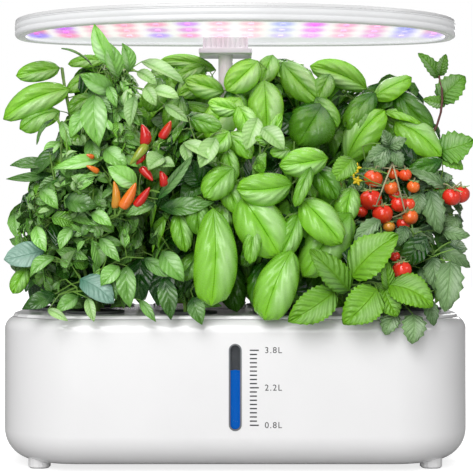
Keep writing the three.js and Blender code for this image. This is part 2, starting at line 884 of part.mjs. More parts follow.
// The box that each plant keeps to: left, right, front, back and top.
const cells = {
  front_1: [-foliageHalfWidth, -frontSplitX, -foliageHalfDepth, -endCellHalfDepth, tallPlantTop],
  front_2: [-frontSplitX, 0, -foliageHalfDepth, swingFront, lowPlantTop],
  front_3: [0, frontSplitX, -foliageHalfDepth, 0, lowPlantTop],
  front_4: [frontSplitX, foliageHalfWidth, -foliageHalfDepth, -endCellHalfDepth, balmTop],
  end_1: [-foliageHalfWidth, -podPitch, -endCellHalfDepth, endCellHalfDepth, lowPlantTop],
  end_2: [podPitch, foliageHalfWidth, -endCellHalfDepth, endCellHalfDepth, lowPlantTop],
  back_1: [-foliageHalfWidth, -podPitch, endCellHalfDepth, foliageHalfDepth, tallPlantTop],
  back_2: [-podPitch, poleLeft, swingBack, foliageHalfDepth, backPlantTop],
  back_3: [poleRight, podPitch, 0, foliageHalfDepth, backPlantTop],
  back_4: [podPitch, foliageHalfWidth, endCellHalfDepth, foliageHalfDepth, tallPlantTop],
};

const plantSeeds = {
  front_1: 11,
  front_2: 23,
  front_3: 37,
  front_4: 41,
  end_1: 53,
  end_2: 61,
  back_1: 71,
  back_2: 83,
  back_3: 97,
  back_4: 101,
};

// Width of the canopy at shares of its height, as shares of the cell.
const canopyShares = [
  [0, 0.55], [0.1, 0.82], [0.21, 0.95], [0.32, 1], [0.43, 1], [0.54, 1],
  [0.65, 1], [0.76, 0.95], [0.86, 0.84], [0.94, 0.62],
];
const hollowShare = 0.8;
const variationShare = 0.14;
const squareShare = 0.6;

function square(value) {
  return Math.sign(value) * Math.abs(value) ** squareShare;
}

// The middle of the canopy at a share of its height: over the pod at first, then over the cell.
function canopyMiddle(pod, heightShare) {
  const [minX, maxX, minY, maxY] = cells[pod.name];
  const lean = Math.min(1, 2 * heightShare);
  return [
    THREE.MathUtils.lerp(pod.x, (minX + maxX) / 2, lean),
    THREE.MathUtils.lerp(pod.y, (minY + maxY) / 2, lean),
  ];
}

function canopyRing(pod, level, random) {
  const [minX, maxX, minY, maxY, top] = cells[pod.name];
  const [heightShare, widthShare] = canopyShares[level];
  const [x, y] = canopyMiddle(pod, heightShare);
  const reachX = Math.min(maxX - x, x - minX) - cellMargin;
  const reachY = Math.min(maxY - y, y - minY) - cellMargin;
  const height = THREE.MathUtils.lerp(foliageFloor, top - hollowRise, heightShare);
  const ring = [];
  for (let side = 0; side < canopySides; side += 1) {
    const isTip = (level + side) % 2 === 0;
    const angle = 2 * Math.PI * side / canopySides;
    const width = widthShare * (isTip ? 1 : hollowShare) * (1 - variationShare * random());
    const z = isTip ? height - tipDroop : height + hollowRise;
    ring.push(new THREE.Vector3(
      x + reachX * width * square(Math.cos(angle)),
      y + reachY * width * square(Math.sin(angle)),
      Math.max(foliageFloor, z),
    ));
  }
  return ring;
}

function roundRing(radius, x, y, height) {
  const ring = [];
  for (let side = 0; side < canopySides; side += 1) {
    const angle = 2 * Math.PI * side / canopySides;
    ring.push(new THREE.Vector3(x + radius * Math.cos(angle), y + radius * Math.sin(angle), height));
  }
  return ring;
}

function plant(pod) {
  const random = randomStream(plantSeeds[pod.name]);
  const rings = [
    roundRing(stemRadius, pod.x, pod.y, stemBottom),
    roundRing(stemRadius, pod.x, pod.y, foliageFloor),
  ];
  canopyShares.forEach((share, level) => rings.push(canopyRing(pod, level, random)));
  const [middleX, middleY] = canopyMiddle(pod, 1);
  const top = cells[pod.name].at(-1);
  rings.push(roundRing(crownRadius, middleX, middleY, top));
  return weld(loft(rings));
}

// Finishes

const finishes = {
  whiteGloss: { color: 0xf4f3f5, roughness: 0.25, metalness: 0 },
  whiteSatin: { color: 0xeeeef0, roughness: 0.45, metalness: 0 },
  clearPlastic: { color: 0xdfe3e6, roughness: 0.15, metalness: 0 },
  darkPlastic: { color: 0x3c4148, roughness: 0.5, metalness: 0 },
  blueFloat: { color: 0x1f62d6, roughness: 0.35, metalness: 0 },
  rubber: { color: 0x2b2b2d, roughness: 0.8, metalness: 0 },
  board: { color: 0x1f6b45, roughness: 0.6, metalness: 0 },
  steel: { color: 0xb9bcc0, roughness: 0.35, metalness: 1 },
  basketPlastic: { color: 0x55595c, roughness: 0.6, metalness: 0 },
  sponge: { color: 0x5b4a35, roughness: 0.95, metalness: 0 },
  foliage: { color: 0x4f9e2c, roughness: 0.6, metalness: 0 },
};

// Assembly

const garden = new THREE.Group();

function addPiece(name, geometry, finish) {
  const material = new THREE.MeshStandardMaterial(finishes[finish]);
  const mesh = new THREE.Mesh(geometry, material);
  mesh.name = name;
  garden.add(mesh);
}

addPiece('tank_shell', tankShell(), 'whiteGloss');
for (const [sideName, sideX] of [['left', -1], ['right', 1]]) {
  for (const [endName, endY] of [['front', -1], ['back', 1]]) {
    const stub = foot(sideX * (gardenWidth / 2 - footInsetX), endY * (gardenDepth / 2 - footInsetY));
    addPiece(`foot_${endName}_${sideName}`, stub, 'whiteGloss');
  }
}
addPiece('gauge_window', gaugeWindow(), 'clearPlastic');
addPiece('gauge_seal', gaugeSeal(), 'rubber');
addPiece('float_chamber', floatChamber(), 'darkPlastic');
addPiece('gauge_float', gaugeFloat(), 'blueFloat');

addPiece('pump_housing', pumpHousing(), 'darkPlastic');
addPiece('pump_cover', pumpCover(), 'darkPlastic');
addPiece('pump_impeller', pumpImpeller(), 'whiteSatin');
addPiece('riser_hose', riserHose(), 'clearPlastic');

addPiece('deck_panel', deckPanel(), 'whiteGloss');
addPiece('fill_cap', fillCap(), 'whiteGloss');
addPiece('dc_inlet', dcInlet(), 'darkPlastic');
addPiece('board_cover', boardCover(), 'whiteSatin');
addPiece('driver_board', driverBoard(), 'board');
for (const [name, x] of Object.entries(buttonPlaces)) {
  addPiece(name, pressButton(x), 'whiteSatin');
}

addPiece('pole_socket', poleSocket(), 'whiteSatin');
addPiece('socket_screw_left', socketScrew(-1), 'steel');
addPiece('socket_screw_right', socketScrew(1), 'steel');
addPiece('pole_outer', poleOuter(), 'whiteSatin');
addPiece('pole_collar', poleCollar(), 'whiteSatin');
addPiece('pole_inner', poleInner(), 'whiteSatin');
addPiece('lamp_connector', lampConnector(), 'clearPlastic');
addPiece('lamp_rim', lampRim(), 'clearPlastic');
addPiece('led_board', ledBoard(), 'whiteSatin');
addPiece('lamp_cover', lampCover(), 'whiteGloss');

for (const pod of pods) {
  addPiece(`basket_${pod.name}`, basket(pod), 'basketPlastic');
  addPiece(`sponge_${pod.name}`, sponge(pod), 'sponge');
  addPiece(`plant_${pod.name}`, plant(pod), 'foliage');
}

export default garden;
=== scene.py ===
"""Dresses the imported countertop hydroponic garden: shell, gauge, lamp, pods, plants and stage.

Lengths in this file are millimetres in the object's own frame, +Z up and the front towards -Y.
Meshes are turned into metres when a piece is finished.
"""

import math
import random

import bmesh
import bpy
from bpy.props import FloatProperty, FloatVectorProperty, IntProperty, PointerProperty
from mathutils import Matrix, Vector, noise
from mathutils.bvhtree import BVHTree


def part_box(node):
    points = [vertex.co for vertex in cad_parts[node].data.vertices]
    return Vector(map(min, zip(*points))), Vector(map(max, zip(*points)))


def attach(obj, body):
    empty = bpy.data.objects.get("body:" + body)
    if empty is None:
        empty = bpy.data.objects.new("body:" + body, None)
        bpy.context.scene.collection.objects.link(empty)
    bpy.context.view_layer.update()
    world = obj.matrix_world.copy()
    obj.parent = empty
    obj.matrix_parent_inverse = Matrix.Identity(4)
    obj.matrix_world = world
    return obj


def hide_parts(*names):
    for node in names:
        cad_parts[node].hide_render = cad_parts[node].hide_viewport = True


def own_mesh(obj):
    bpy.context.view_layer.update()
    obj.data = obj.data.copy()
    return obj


bl_info = {
    "name": "Countertop Garden",
    "version": (1, 0, 0),
    "blender": (4, 5, 0),
    "location": "View3D > Sidebar > Garden",
    "description": "Builds the visible pieces and materials of a countertop hydroponic garden",
    "category": "Object",
}

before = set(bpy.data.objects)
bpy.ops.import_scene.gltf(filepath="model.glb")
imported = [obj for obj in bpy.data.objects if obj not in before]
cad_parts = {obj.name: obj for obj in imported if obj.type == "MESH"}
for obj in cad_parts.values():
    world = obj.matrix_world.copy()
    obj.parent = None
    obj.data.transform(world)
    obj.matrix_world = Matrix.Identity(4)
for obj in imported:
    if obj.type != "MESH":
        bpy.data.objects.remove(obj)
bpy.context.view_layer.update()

MM = 0.001
FULL_TURN = 2 * math.pi
UPRIGHT = Matrix.Rotation(math.pi / 2, 3, "X")
MERGED_WITHIN = 1e-4
LEVEL_WITHIN = 1e-3

TANK_WIDTH = 380
TANK_DEPTH = 210
TANK_FRONT = -TANK_DEPTH / 2
TANK_UNDERSIDE = 4.5
TANK_RIM = 121
TANK_CORNER = 65
TANK_FOOT_FILLET = 25
TANK_TOP_FILLET = 11
TANK_MOUTH_INSET = 6.5
TANK_WALL = 3
ARCH_REACH = 140
INLET_NOTCH_WIDTH = 17
INLET_NOTCH_DROP = 7

GAUGE_WIDTH = 8.2
GAUGE_BOTTOM = 35.1
GAUGE_TOP = 101.5
# The gauge's upright capsules: the margin round the window, and the nearer and the farther depth
# behind the tank's face.
WINDOW_CUT = (0.3, -3, TANK_WALL + 3)
GLASS = (0, 0, 1.2)
RIM = (0.95, -0.35, 0.4)
RIM_HOLE = (-0.25, -3, 3)
BACKING = (1, 3.2, 3.9)

WATER_LEVEL = 81.9
WATER_BEHIND = 2.9
WATER_DEPTH = 1.5
WATER_GAP = 0.3
MENISCUS = 0.2

SCALE_BOTTOM = 38.7
SCALE_STEP = 3.26
SCALE_MARKS = 19
MARK_LEFT = 11.4
MARK_RIGHT = 17.0
LONG_MARK_RIGHT = 18.5
MARK_HEIGHT = 1.0
LITRES = {0: "0.8L", 9: "2.2L", 18: "3.8L"}
LITRES_LEFT = 23.0
LITRES_SIZE = 6.8
LITRES_SPACING = 1.2
LITRES_DROP = 2.2
PRINT_RISE = 0.06

POLE_X = -8.5
POLE_Y = 22
SCREW_REACH = 15.1
CONNECTOR_MIDDLE = 22.5
CONNECTOR_BOTTOM = 344
CONNECTOR_TOP = 358
FLANGE_HEIGHT = 4
FLUTE_STEP = 4.2
FLUTE_RADIUS = 0.9
LAMP_UNDERSIDE = 356
LAMP_TOP = 370
LAMP_HALF_WIDTH = 188
LAMP_FRONT_DEPTH = 104
LAMP_BACK_DEPTH = 52
LAMP_FRONT_POWER = 2.1
LAMP_BACK_POWER = 3
COVER_RISE = 11.3
BOARD_RISE = 2.3
BOARD_THICKNESS = 1.6
LIGHT_SIZE = 4.4
GLOW_RISE = 2.2
GLOW_INSET = 8
GLOW_THICKNESS = 0.08

DECK_TOP = 124
BASKET_SLATS = 14
STEMS_START = 119
CANOPY_BOTTOM = 127
PODS = (
    "front_1", "front_2", "front_3", "front_4", "end_1", "end_2", "back_1", "back_2", "back_3",
    "back_4",
)
LIFTING_PODS = ("front_2", "front_3", "front_4", "end_1", "end_2")

# The view that the picture was taken from: its distance in front of the middle of the garden, its
# height, the focal length in picture points and the picture's size in points.
VIEW_DISTANCE = 1205
VIEW_HEIGHT = 186.4
VIEW_X = 1.0
FOCAL_POINTS = 1406
PICTURE_POINTS = 473
SENSOR_WIDTH = 36


def seen_size(points, depth):
    """The length that shows as a number of picture points at a depth along Y."""
    return points * (VIEW_DISTANCE + depth) / FOCAL_POINTS


def seen_at(column, row, depth):
    """The place that shows at a point of the picture, at a depth along Y."""
    scale = (VIEW_DISTANCE + depth) / FOCAL_POINTS
    x = VIEW_X + (column - PICTURE_POINTS / 2) * scale
    z = VIEW_HEIGHT + (PICTURE_POINTS / 2 - row) * scale
    return Vector((x, depth, z))


def picture_point(place):
    """The column and row of the picture at which a place shows."""
    scale = FOCAL_POINTS / (VIEW_DISTANCE + place.y)
    half = PICTURE_POINTS / 2
    return half + (place.x - VIEW_X) * scale, half - (place.z - VIEW_HEIGHT) * scale


def middle_of(node):
    """The middle of a CAD part."""
    low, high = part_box(node)
    return (low + high) / 2 / MM


POD_PLACES = {pod: tuple(middle_of("basket_" + pod).xy) for pod in PODS}


def pod_body(pod):
    """The body that a pod rides on."""
    return "pod_" + pod if pod in LIFTING_PODS else "deck"


# Settings


class TankSettings(bpy.types.PropertyGroup):
    """Colours of the tank and its gauge."""

    shell_color: FloatVectorProperty(
        name="Shell", description="Colour of the tank, deck and lamp top",
        subtype="COLOR", size=3, min=0, max=1, default=(0.87, 0.865, 0.87))
    water_color: FloatVectorProperty(
        name="Water", description="Colour of the water column in the gauge",
        subtype="COLOR", size=3, min=0, max=1, default=(0.0, 0.12, 0.56))
    ink_color: FloatVectorProperty(
        name="Scale print", description="Colour of the level marks",
        subtype="COLOR", size=3, min=0, max=1, default=(0.012, 0.012, 0.014))
    arch_height: FloatProperty(
        name="Underside arch", description="Rise of the tank's underside between its feet",
        subtype="DISTANCE", unit="LENGTH", default=0.0003)


class LampSettings(bpy.types.PropertyGroup):
    """Light and glow of the grow lamp."""

    glow_strength: FloatProperty(
        name="Glow", description="How bright the lamp's underside looks", min=0, default=0.9)
    light_strength: FloatProperty(
        name="Light", description="How strongly the lamp lights the plants", min=0, default=2.0)
    glow_spread: FloatProperty(
        name="Glow spread", description="Radius of the coloured spot round each light",
        subtype="DISTANCE", unit="LENGTH", default=0.0044)


class FoliageSettings(bpy.types.PropertyGroup):
    """How densely the plants are grown."""

    density: FloatProperty(
        name="Density", description="Share of the usual number of filling leaves",
        subtype="FACTOR", min=0, max=2, default=1)
    seed: IntProperty(
        name="Seed", description="Start of the leaves' random places", default=7)
    leaf_thickness: FloatProperty(
        name="Leaf thickness", description="Thickness of a leaf",
        subtype="DISTANCE", unit="LENGTH", default=0.0005)


class StageSettings(bpy.types.PropertyGroup):
    """Studio light and floor."""

    key_power: FloatProperty(
        name="Key light", description="Power of the softbox above the front",
        subtype="POWER", unit="POWER", default=38)
    front_power: FloatProperty(
        name="Front light", description="Power of the softbox behind the camera",
        subtype="POWER", unit="POWER", default=24)
    fill_power: FloatProperty(
        name="Fill light", description="Power of the softbox at the right",
        subtype="POWER", unit="POWER", default=3)
    back_power: FloatProperty(
        name="Back light", description="Power of the softbox behind the garden",
        subtype="POWER", unit="POWER", default=22)
    ambient: FloatProperty(
        name="Ambient", description="Strength of the light from all round", min=0, default=0.25)
    floor_color: FloatVectorProperty(
        name="Floor", description="Colour of the floor", subtype="COLOR", size=3, min=0, max=1,
        default=(0.4, 0.4, 0.4))


# Mesh helpers


def bevel(form, edges, offset, segments):
    """Rounds edges of a form."""
    bmesh.ops.bevel(
        form, geom=edges, offset=offset, offset_type="OFFSET", segments=segments,
        profile=0.5, affect="EDGES", material=-1, clamp_overlap=True)


def moved(form, x=0, y=0, z=0):
    """The form, moved."""
    bmesh.ops.translate(form, vec=(x, y, z), verts=form.verts)
    return form


def mesh_of(form, name):
    """A mesh made from a form, which is freed."""
    mesh = bpy.data.meshes.new(name)
    form.to_mesh(mesh)
    form.free()
    return mesh


def placed(name, data):
    """A new object in the scene."""
    thing = bpy.data.objects.new(name, data)
    bpy.context.scene.collection.objects.link(thing)
    return thing


def absorbed(form, *others):
    """Adds the other forms to the first and frees them."""
    for other in others:
        mesh = mesh_of(other, "absorbed")
        form.from_mesh(mesh)
        bpy.data.meshes.remove(mesh)
    return form


def rounded_box(width, depth, bottom, top, corner, segments, x=0, y=0):
    """An upright box with rounded corners in plan."""
    form = bmesh.new()
    bmesh.ops.create_cube(form, size=1)
    bmesh.ops.scale(form, vec=(width, depth, top - bottom), verts=form.verts)
    corners = [edge for edge in form.edges if edge.verts[0].co.xy == edge.verts[1].co.xy]
    bevel(form, corners, corner, segments)
    return moved(form, x, y, (top + bottom) / 2)


def upright(form):
    """The form, turned so that what was level stands in the X-Z plane."""
    bmesh.ops.rotate(form, matrix=UPRIGHT, verts=form.verts)
    return form


def level_edges(form, height):
    """The edges that lie in a level plane."""
    return [
        edge for edge in form.edges
        if all(abs(vert.co.z - height) < LEVEL_WITHIN for vert in edge.verts)
    ]


def turned(profile, x=0, y=0, steps=48, is_ring=False):
    """A turned form about a vertical axis from [radius, height] points."""
    form = bmesh.new()
    points = [form.verts.new((radius, 0, height)) for radius, height in profile]
    pairs = list(zip(points, points[1:]))
    if is_ring:
        pairs.append((points[-1], points[0]))
    edges = [form.edges.new(pair) for pair in pairs]
    bmesh.ops.spin(
        form, geom=points + edges, axis=(0, 0, 1), cent=(0, 0, 0), angle=FULL_TURN,
        steps=steps, use_merge=True)
    bmesh.ops.remove_doubles(form, verts=form.verts, dist=MERGED_WITHIN)
    bmesh.ops.recalc_face_normals(form, faces=form.faces)
    return moved(form, x, y)


def rod_between(form, start, end, radius_start, radius_end, sides=6, material=0):
    """Adds a tapered closed rod from one point to another."""
    along = end - start
    if along.length < LEVEL_WITHIN:
        return
    turn = along.to_track_quat("Z", "Y").to_matrix().to_4x4()
    place = Matrix.Translation((start + end) / 2) @ turn
    made = bmesh.ops.create_cone(
        form, cap_ends=True, segments=sides, radius1=radius_start, radius2=radius_end,
        depth=along.length, matrix=place)
    for face in {face for vert in made["verts"] for face in vert.link_faces}:
        face.material_index = material


def scratch_object(form):
    """An object for a form that modifiers work on; the form is freed."""
    return placed("scratch", mesh_of(form, "scratch"))


def baked(scratch):
    """The form that an object's modifiers give, with the object removed."""
    graph = bpy.context.evaluated_depsgraph_get()
    mesh = bpy.data.meshes.new_from_object(scratch.evaluated_get(graph))
    form = bmesh.new()
    form.from_mesh(mesh)
    bpy.data.meshes.remove(mesh)
    bpy.data.objects.remove(scratch)
    return form


def carved(form, *cutters):
    """The form with the cutters taken out of it."""
    body = scratch_object(form)
    tools = [scratch_object(cutter) for cutter in cutters]
    for tool in tools:
        cut = body.modifiers.new("Cut", "BOOLEAN")
        cut.operation = "DIFFERENCE"
        cut.solver = "EXACT"
        cut.object = tool
    form = baked(body)
    for tool in tools:
        bpy.data.objects.remove(tool)
    return form


def finish_piece(form, name, body, materials, stands_for=(), sharp=40):
    """Turns a form in millimetres into a finished piece that rides on a body."""
    bmesh.ops.scale(form, vec=(MM, MM, MM), verts=form.verts)
    mesh = mesh_of(form, name)
    mesh.shade_smooth()
    mesh.set_sharp_from_angle(angle=math.radians(sharp))
    for material in materials:
        mesh.materials.append(material)
    piece = placed(name, mesh)
    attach(piece, body)
    if stands_for:
        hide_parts(*stands_for)
    return piece


def even_shading(piece):
    """Keeps the flat faces beside a rounded edge flat in their shading."""
    weighted = piece.modifiers.new("Even shading", "WEIGHTED_NORMAL")
    weighted.keep_sharp = True


# Shader helpers


def add(tree, kind, inputs=None, **settings):
    """Adds a node, and links or sets its inputs."""
    node = tree.nodes.new("ShaderNode" + kind)
    for key, value in settings.items():
        setattr(node, key, value)
    for name, value in (inputs or {}).items():
        if isinstance(value, bpy.types.NodeSocket):
            tree.links.new(value, node.inputs[name])
        else:
            node.inputs[name].default_value = value
    return node


def math_node(tree, operation, *values):
    """The result of a Math node."""
    return add(tree, "Math", dict(enumerate(values)), operation=operation).outputs[0]


def product(tree, first, second):
    """Two values multiplied."""
    return math_node(tree, "MULTIPLY", first, second)


def mapped(tree, value, low, high, to_low=0.0, to_high=1.0, smooth=True):
    """A value's range carried over to another."""
    inputs = {
        "Value": value, "From Min": low, "From Max": high, "To Min": to_low, "To Max": to_high}
    interpolation = "SMOOTHSTEP" if smooth else "LINEAR"
    node = add(tree, "MapRange", inputs, interpolation_type=interpolation)
    return node.outputs["Result"]


# The colour Mix node's inputs for the share and the two colours.
MIX_SOCKETS = (0, 6, 7)


def mixed(tree, share, first, second, blend="MIX"):
    """A colour mixed from two, each given as a socket or as red, green and blue."""
    node = add(tree, "Mix", data_type="RGBA", blend_type=blend)
    for number, value in zip(MIX_SOCKETS, (share, first, second)):
        socket = node.inputs[number]
        if isinstance(value, bpy.types.NodeSocket):
            tree.links.new(value, socket)
        elif isinstance(value, (int, float)):
            socket.default_value = value
        else:
            socket.default_value = (*value, 1)
    return node.outputs[2]


def noise_node(tree, vector, scale, detail=2.0, roughness=0.5):
    """The value of a Noise Texture."""
    inputs = {"Vector": vector, "Scale": scale, "Detail": detail, "Roughness": roughness}
    return add(tree, "TexNoise", inputs).outputs["Fac"]


def object_place(tree, stretch=(1, 1, 1)):
    """Object coordinates, with each axis stretched."""
    place = add(tree, "TexCoord").outputs["Object"]
    if stretch == (1, 1, 1):
        return place
    return add(tree, "Mapping", {"Vector": place, "Scale": stretch}).outputs["Vector"]


def feed(tree, node, **sockets):
    """Links sockets into a node's inputs, whose names have _ for a space."""
    for name, socket in sockets.items():
        tree.links.new(socket, node.inputs[name.replace("_", " ")])


def bumped(tree, shader, height, distance, strength=1.0):
    """Gives a shader the relief of a height, with its depth in metres."""
    bump = add(tree, "Bump", {"Height": height, "Distance": distance, "Strength": strength})
    feed(tree, shader, Normal=bump.outputs["Normal"])


def new_group(name, inputs, outputs):
    """An empty node group and its input and output nodes."""
    tree = bpy.data.node_groups.new(name, "ShaderNodeTree")
    for label, kind in inputs:
        tree.interface.new_socket(label, in_out="INPUT", socket_type="NodeSocket" + kind)
    for label, kind in outputs:
        tree.interface.new_socket(label, in_out="OUTPUT", socket_type="NodeSocket" + kind)
    return tree, tree.nodes.new("NodeGroupInput"), tree.nodes.new("NodeGroupOutput")


def grain_group():
    """Fine moulded grain: a tone, a roughness and a height that vary over a surface."""
    if known := bpy.data.node_groups.get("Moulded grain"):
        return known
    tree, start, end = new_group(
        "Moulded grain",
        [("Vector", "Vector"), ("Scale", "Float"), ("Smooth", "Float"), ("Rough", "Float")],
        [("Tone", "Float"), ("Roughness", "Float"), ("Height", "Float")])
    place, scale, smooth, rough = start.outputs[:4]
    fine = noise_node(tree, place, scale, 4.0, 0.6)
    wide = noise_node(tree, place, product(tree, scale, 0.035))
    blend = math_node(tree, "MULTIPLY_ADD", fine, 0.4, product(tree, wide, 0.6))
    feed(tree, end, Tone=mapped(tree, wide, 0.3, 0.7),
         Roughness=mapped(tree, blend, 0.35, 0.65, smooth, rough), Height=fine)
    return tree


def leaf_group():
    """A leaf's marks from its UV map: midrib, side veins, the pillows between them, a painted
    highlight on one half and how far along the leaf a point is."""
    if known := bpy.data.node_groups.get("Leaf veins"):
        return known
    tree, start, end = new_group(
        "Leaf veins",
        [("Vector", "Vector"), ("Count", "Float"), ("Slant", "Float"), ("Width", "Float")],
        [("Midrib", "Float"), ("Veins", "Float"), ("Pillow", "Float"), ("Sheen", "Float"),
         ("Along", "Float")])
    place, count, slant, width = start.outputs[:4]
    side, along, _ = add(tree, "SeparateXYZ", {"Vector": place}).outputs
    across = math_node(tree, "ABSOLUTE", math_node(tree, "MULTIPLY_ADD", side, 2.0, -1.0))
    wobble = noise_node(tree, place, 5.0)
    steps = math_node(tree, "MULTIPLY_ADD", along, count, product(tree, wobble, 0.5))
    saw = math_node(tree, "FRACT", math_node(
        tree, "SUBTRACT", steps, product(tree, across, slant)))
    away = math_node(tree, "SUBTRACT", 1.0, math_node(
        tree, "ABSOLUTE", math_node(tree, "MULTIPLY_ADD", saw, 2.0, -1.0)))
    midrib = mapped(tree, across, 0.0, product(tree, width, 0.7), 1.0, 0.0)
    veins = mapped(tree, away, 0.0, product(tree, width, 2.4), 1.0, 0.0)
    fading = mapped(tree, across, 0.75, 1.0, 1.0, 0.0)
    pillow = product(tree, mapped(tree, away, 0.0, 1.0), mapped(tree, across, 0.0, 0.25))
    # Painted highlight: strongest on one half of the blade and in the middle of its width and
    # length.
    lit_side = mapped(tree, side, 0.35, 0.65, 1.0, 0.3)
    blade = product(tree, lit_side, math_node(tree, "SINE", product(tree, across, math.pi)))
    length = math_node(tree, "SINE", product(tree, along, math.pi))
    feed(tree, end, Midrib=midrib, Veins=product(tree, veins, fading), Pillow=pillow,
         Sheen=product(tree, blade, length), Along=along)
    return tree


def new_material(name, **sockets):
    """A material with a Principled shader; sockets are set by name, with _ for a space."""
    material = bpy.data.materials.new(name)
    material.use_nodes = True
    tree = material.node_tree
    tree.nodes.clear()
    shader = add(tree, "BsdfPrincipled", {
        key.replace("_", " "): value for key, value in sockets.items()})
    add(tree, "OutputMaterial", {"Surface": shader.outputs[0]})
    return material, tree, shader


def moulded(name, color, smooth, rough, scale=900.0, depth=0.00002, tone=0.94, stretch=(1, 1, 1),
            **sockets):
    """Plastic, rubber or metal with a fine grain, an uneven gloss and a slightly uneven colour."""
    if known := bpy.data.materials.get(name):
        return known
    material, tree, shader = new_material(name, **sockets)
    grain = add(tree, "Group", node_tree=grain_group())
    feed(tree, grain, Vector=object_place(tree, stretch))
    for label, value in (("Scale", scale), ("Smooth", smooth), ("Rough", rough)):
        grain.inputs[label].default_value = value
    dim = [channel * tone for channel in color]
    feed(tree, shader, Base_Color=mixed(tree, grain.outputs["Tone"], dim, color),
         Roughness=grain.outputs["Roughness"])
    bumped(tree, shader, grain.outputs["Height"], depth)
    return material


def shell_white():
    """The glossy white of the tank and deck."""
    color = tuple(bpy.context.scene.garden_tank.shell_color)
    return moulded("Pearl white shell", color, 0.16, 0.24, scale=500.0, depth=0.000006, tone=0.985,
                   Coat_Weight=0.35, Coat_Roughness=0.06)


def satin_white():
    """White fittings with a soft gloss."""
    return moulded("Satin white", (0.80, 0.80, 0.81), 0.34, 0.46)


def dark_plastic():
    """Dark parts behind the window and round the pump."""
    return moulded("Dark moulded plastic", (0.035, 0.04, 0.045), 0.4, 0.55)


def rim_plastic():
    """The grey rim of the gauge."""
    return moulded("Gauge rim plastic", (0.16, 0.17, 0.18), 0.25, 0.4)


def pot_plastic():
    """The nearly black net baskets."""
    return moulded("Basket plastic", (0.05, 0.055, 0.055), 0.45, 0.6)


def dark_rubber():
    """The gasket of the gauge."""
    return moulded("Seal rubber", (0.02, 0.02, 0.022), 0.65, 0.85, scale=1500.0)


def screw_steel():
    """Steel with turning marks round the screw."""
    return moulded("Screw steel", (0.58, 0.59, 0.6), 0.25, 0.4, stretch=(1, 1, 12), Metallic=1.0)


def pole_finish():
    """The pole's pale coat, drawn out along it."""
    return moulded("Pole satin finish", (0.87, 0.84, 0.84), 0.28, 0.36, stretch=(6, 6, 0.4))


def scale_ink():
    """The dark print of the level scale."""
    color = tuple(bpy.context.scene.garden_tank.ink_color)
    return moulded("Scale print", color, 0.5, 0.7, tone=0.8)


def gauge_water():
    """The still blue water behind the window."""
    color = tuple(bpy.context.scene.garden_tank.water_color)
    return moulded("Gauge water", color, 0.3, 0.4, scale=120.0, tone=0.9, depth=0.0,
                   Specular_IOR_Level=0.05)


def float_blue():
    """The glossy blue float."""
    return moulded("Float blue", (0.01, 0.12, 0.6), 0.25, 0.35, Coat_Weight=0.4)


def gauge_glass():
    """A thin clear cover: mostly open, with the gloss of its face."""
    return moulded("Gauge window", (0.02, 0.03, 0.05), 0.03, 0.07, scale=200.0, depth=0.0,
                   Alpha=0.04, Specular_IOR_Level=0.2)


def clear_plastic(name, color, glow, depth=0.00002):
    """Frosted clear plastic with a faint white glow: partly the lamp's light carried in the
    plastic, partly painted light that lifts its shaded faces.
    """
    return moulded(name, color, 0.12, 0.2, scale=300.0, depth=depth, Transmission_Weight=0.15,
                   IOR=1.35, Emission_Color=(1, 1, 1, 1), Emission_Strength=glow)


def clear_lamp():
    """The lamp's clear rim."""
    return clear_plastic("Clear lamp plastic", (0.66, 0.665, 0.675), 0.2, 0.00001)


def clear_block():
    """The clear connector above the pole."""
    return clear_plastic("Clear block plastic", (0.62, 0.63, 0.64), 0.08)


def lamp_white():
    """The lamp's translucent white top."""
    return moulded("Lamp top white", (0.74, 0.74, 0.745), 0.2, 0.3, scale=500.0, depth=0.000006,
                   tone=0.96, Coat_Weight=0.2)


def clear_hose():
    """The milky hose of the pump."""
    return moulded("Clear hose", (0.8, 0.84, 0.86), 0.15, 0.3, Transmission_Weight=0.6, IOR=1.4)


def circuit_green():
    """Solder resist with lighter copper tracks under it."""
    if known := bpy.data.materials.get("Circuit board"):
        return known
    material, tree, shader = new_material("Circuit board", Coat_Weight=0.3)
    place = object_place(tree)
    cells = add(tree, "TexVoronoi", {"Vector": place, "Scale": 260.0},
                feature="DISTANCE_TO_EDGE", distance="EUCLIDEAN")
    tracks = mapped(tree, cells.outputs["Distance"], 0.03, 0.06, 1.0, 0.0)
    tone = noise_node(tree, place, 900.0, 3.0)
    green = mixed(tree, tone, (0.008, 0.08, 0.03), (0.015, 0.12, 0.05))
    feed(tree, shader, Base_Color=mixed(tree, tracks, green, (0.05, 0.24, 0.10)),
         Roughness=mapped(tree, tone, 0.3, 0.7, 0.3, 0.5))
    bumped(tree, shader, tracks, 0.00003)
    return material


def sponge_foam():
    """Open brown foam, with painted shade in its pores."""
    if known := bpy.data.materials.get("Growing sponge"):
        return known
    material, tree, shader = new_material("Growing sponge", Roughness=0.95)
    place = object_place(tree)
    cells = add(tree, "TexVoronoi", {"Vector": place, "Scale": 700.0, "Randomness": 1.0})
    pores = mapped(tree, cells.outputs["Distance"], 0.05, 0.45)
    tone = noise_node(tree, place, 90.0, 4.0)
    brown = mixed(tree, tone, (0.05, 0.03, 0.015), (0.16, 0.10, 0.055))
    # Painted shade: the pores are near black.
    feed(tree, shader, Base_Color=mixed(tree, pores, (0.012, 0.008, 0.005), brown))
    bumped(tree, shader, pores, 0.0006)
    return material


LEAF_ROUGHNESS_RANGE = 0.14


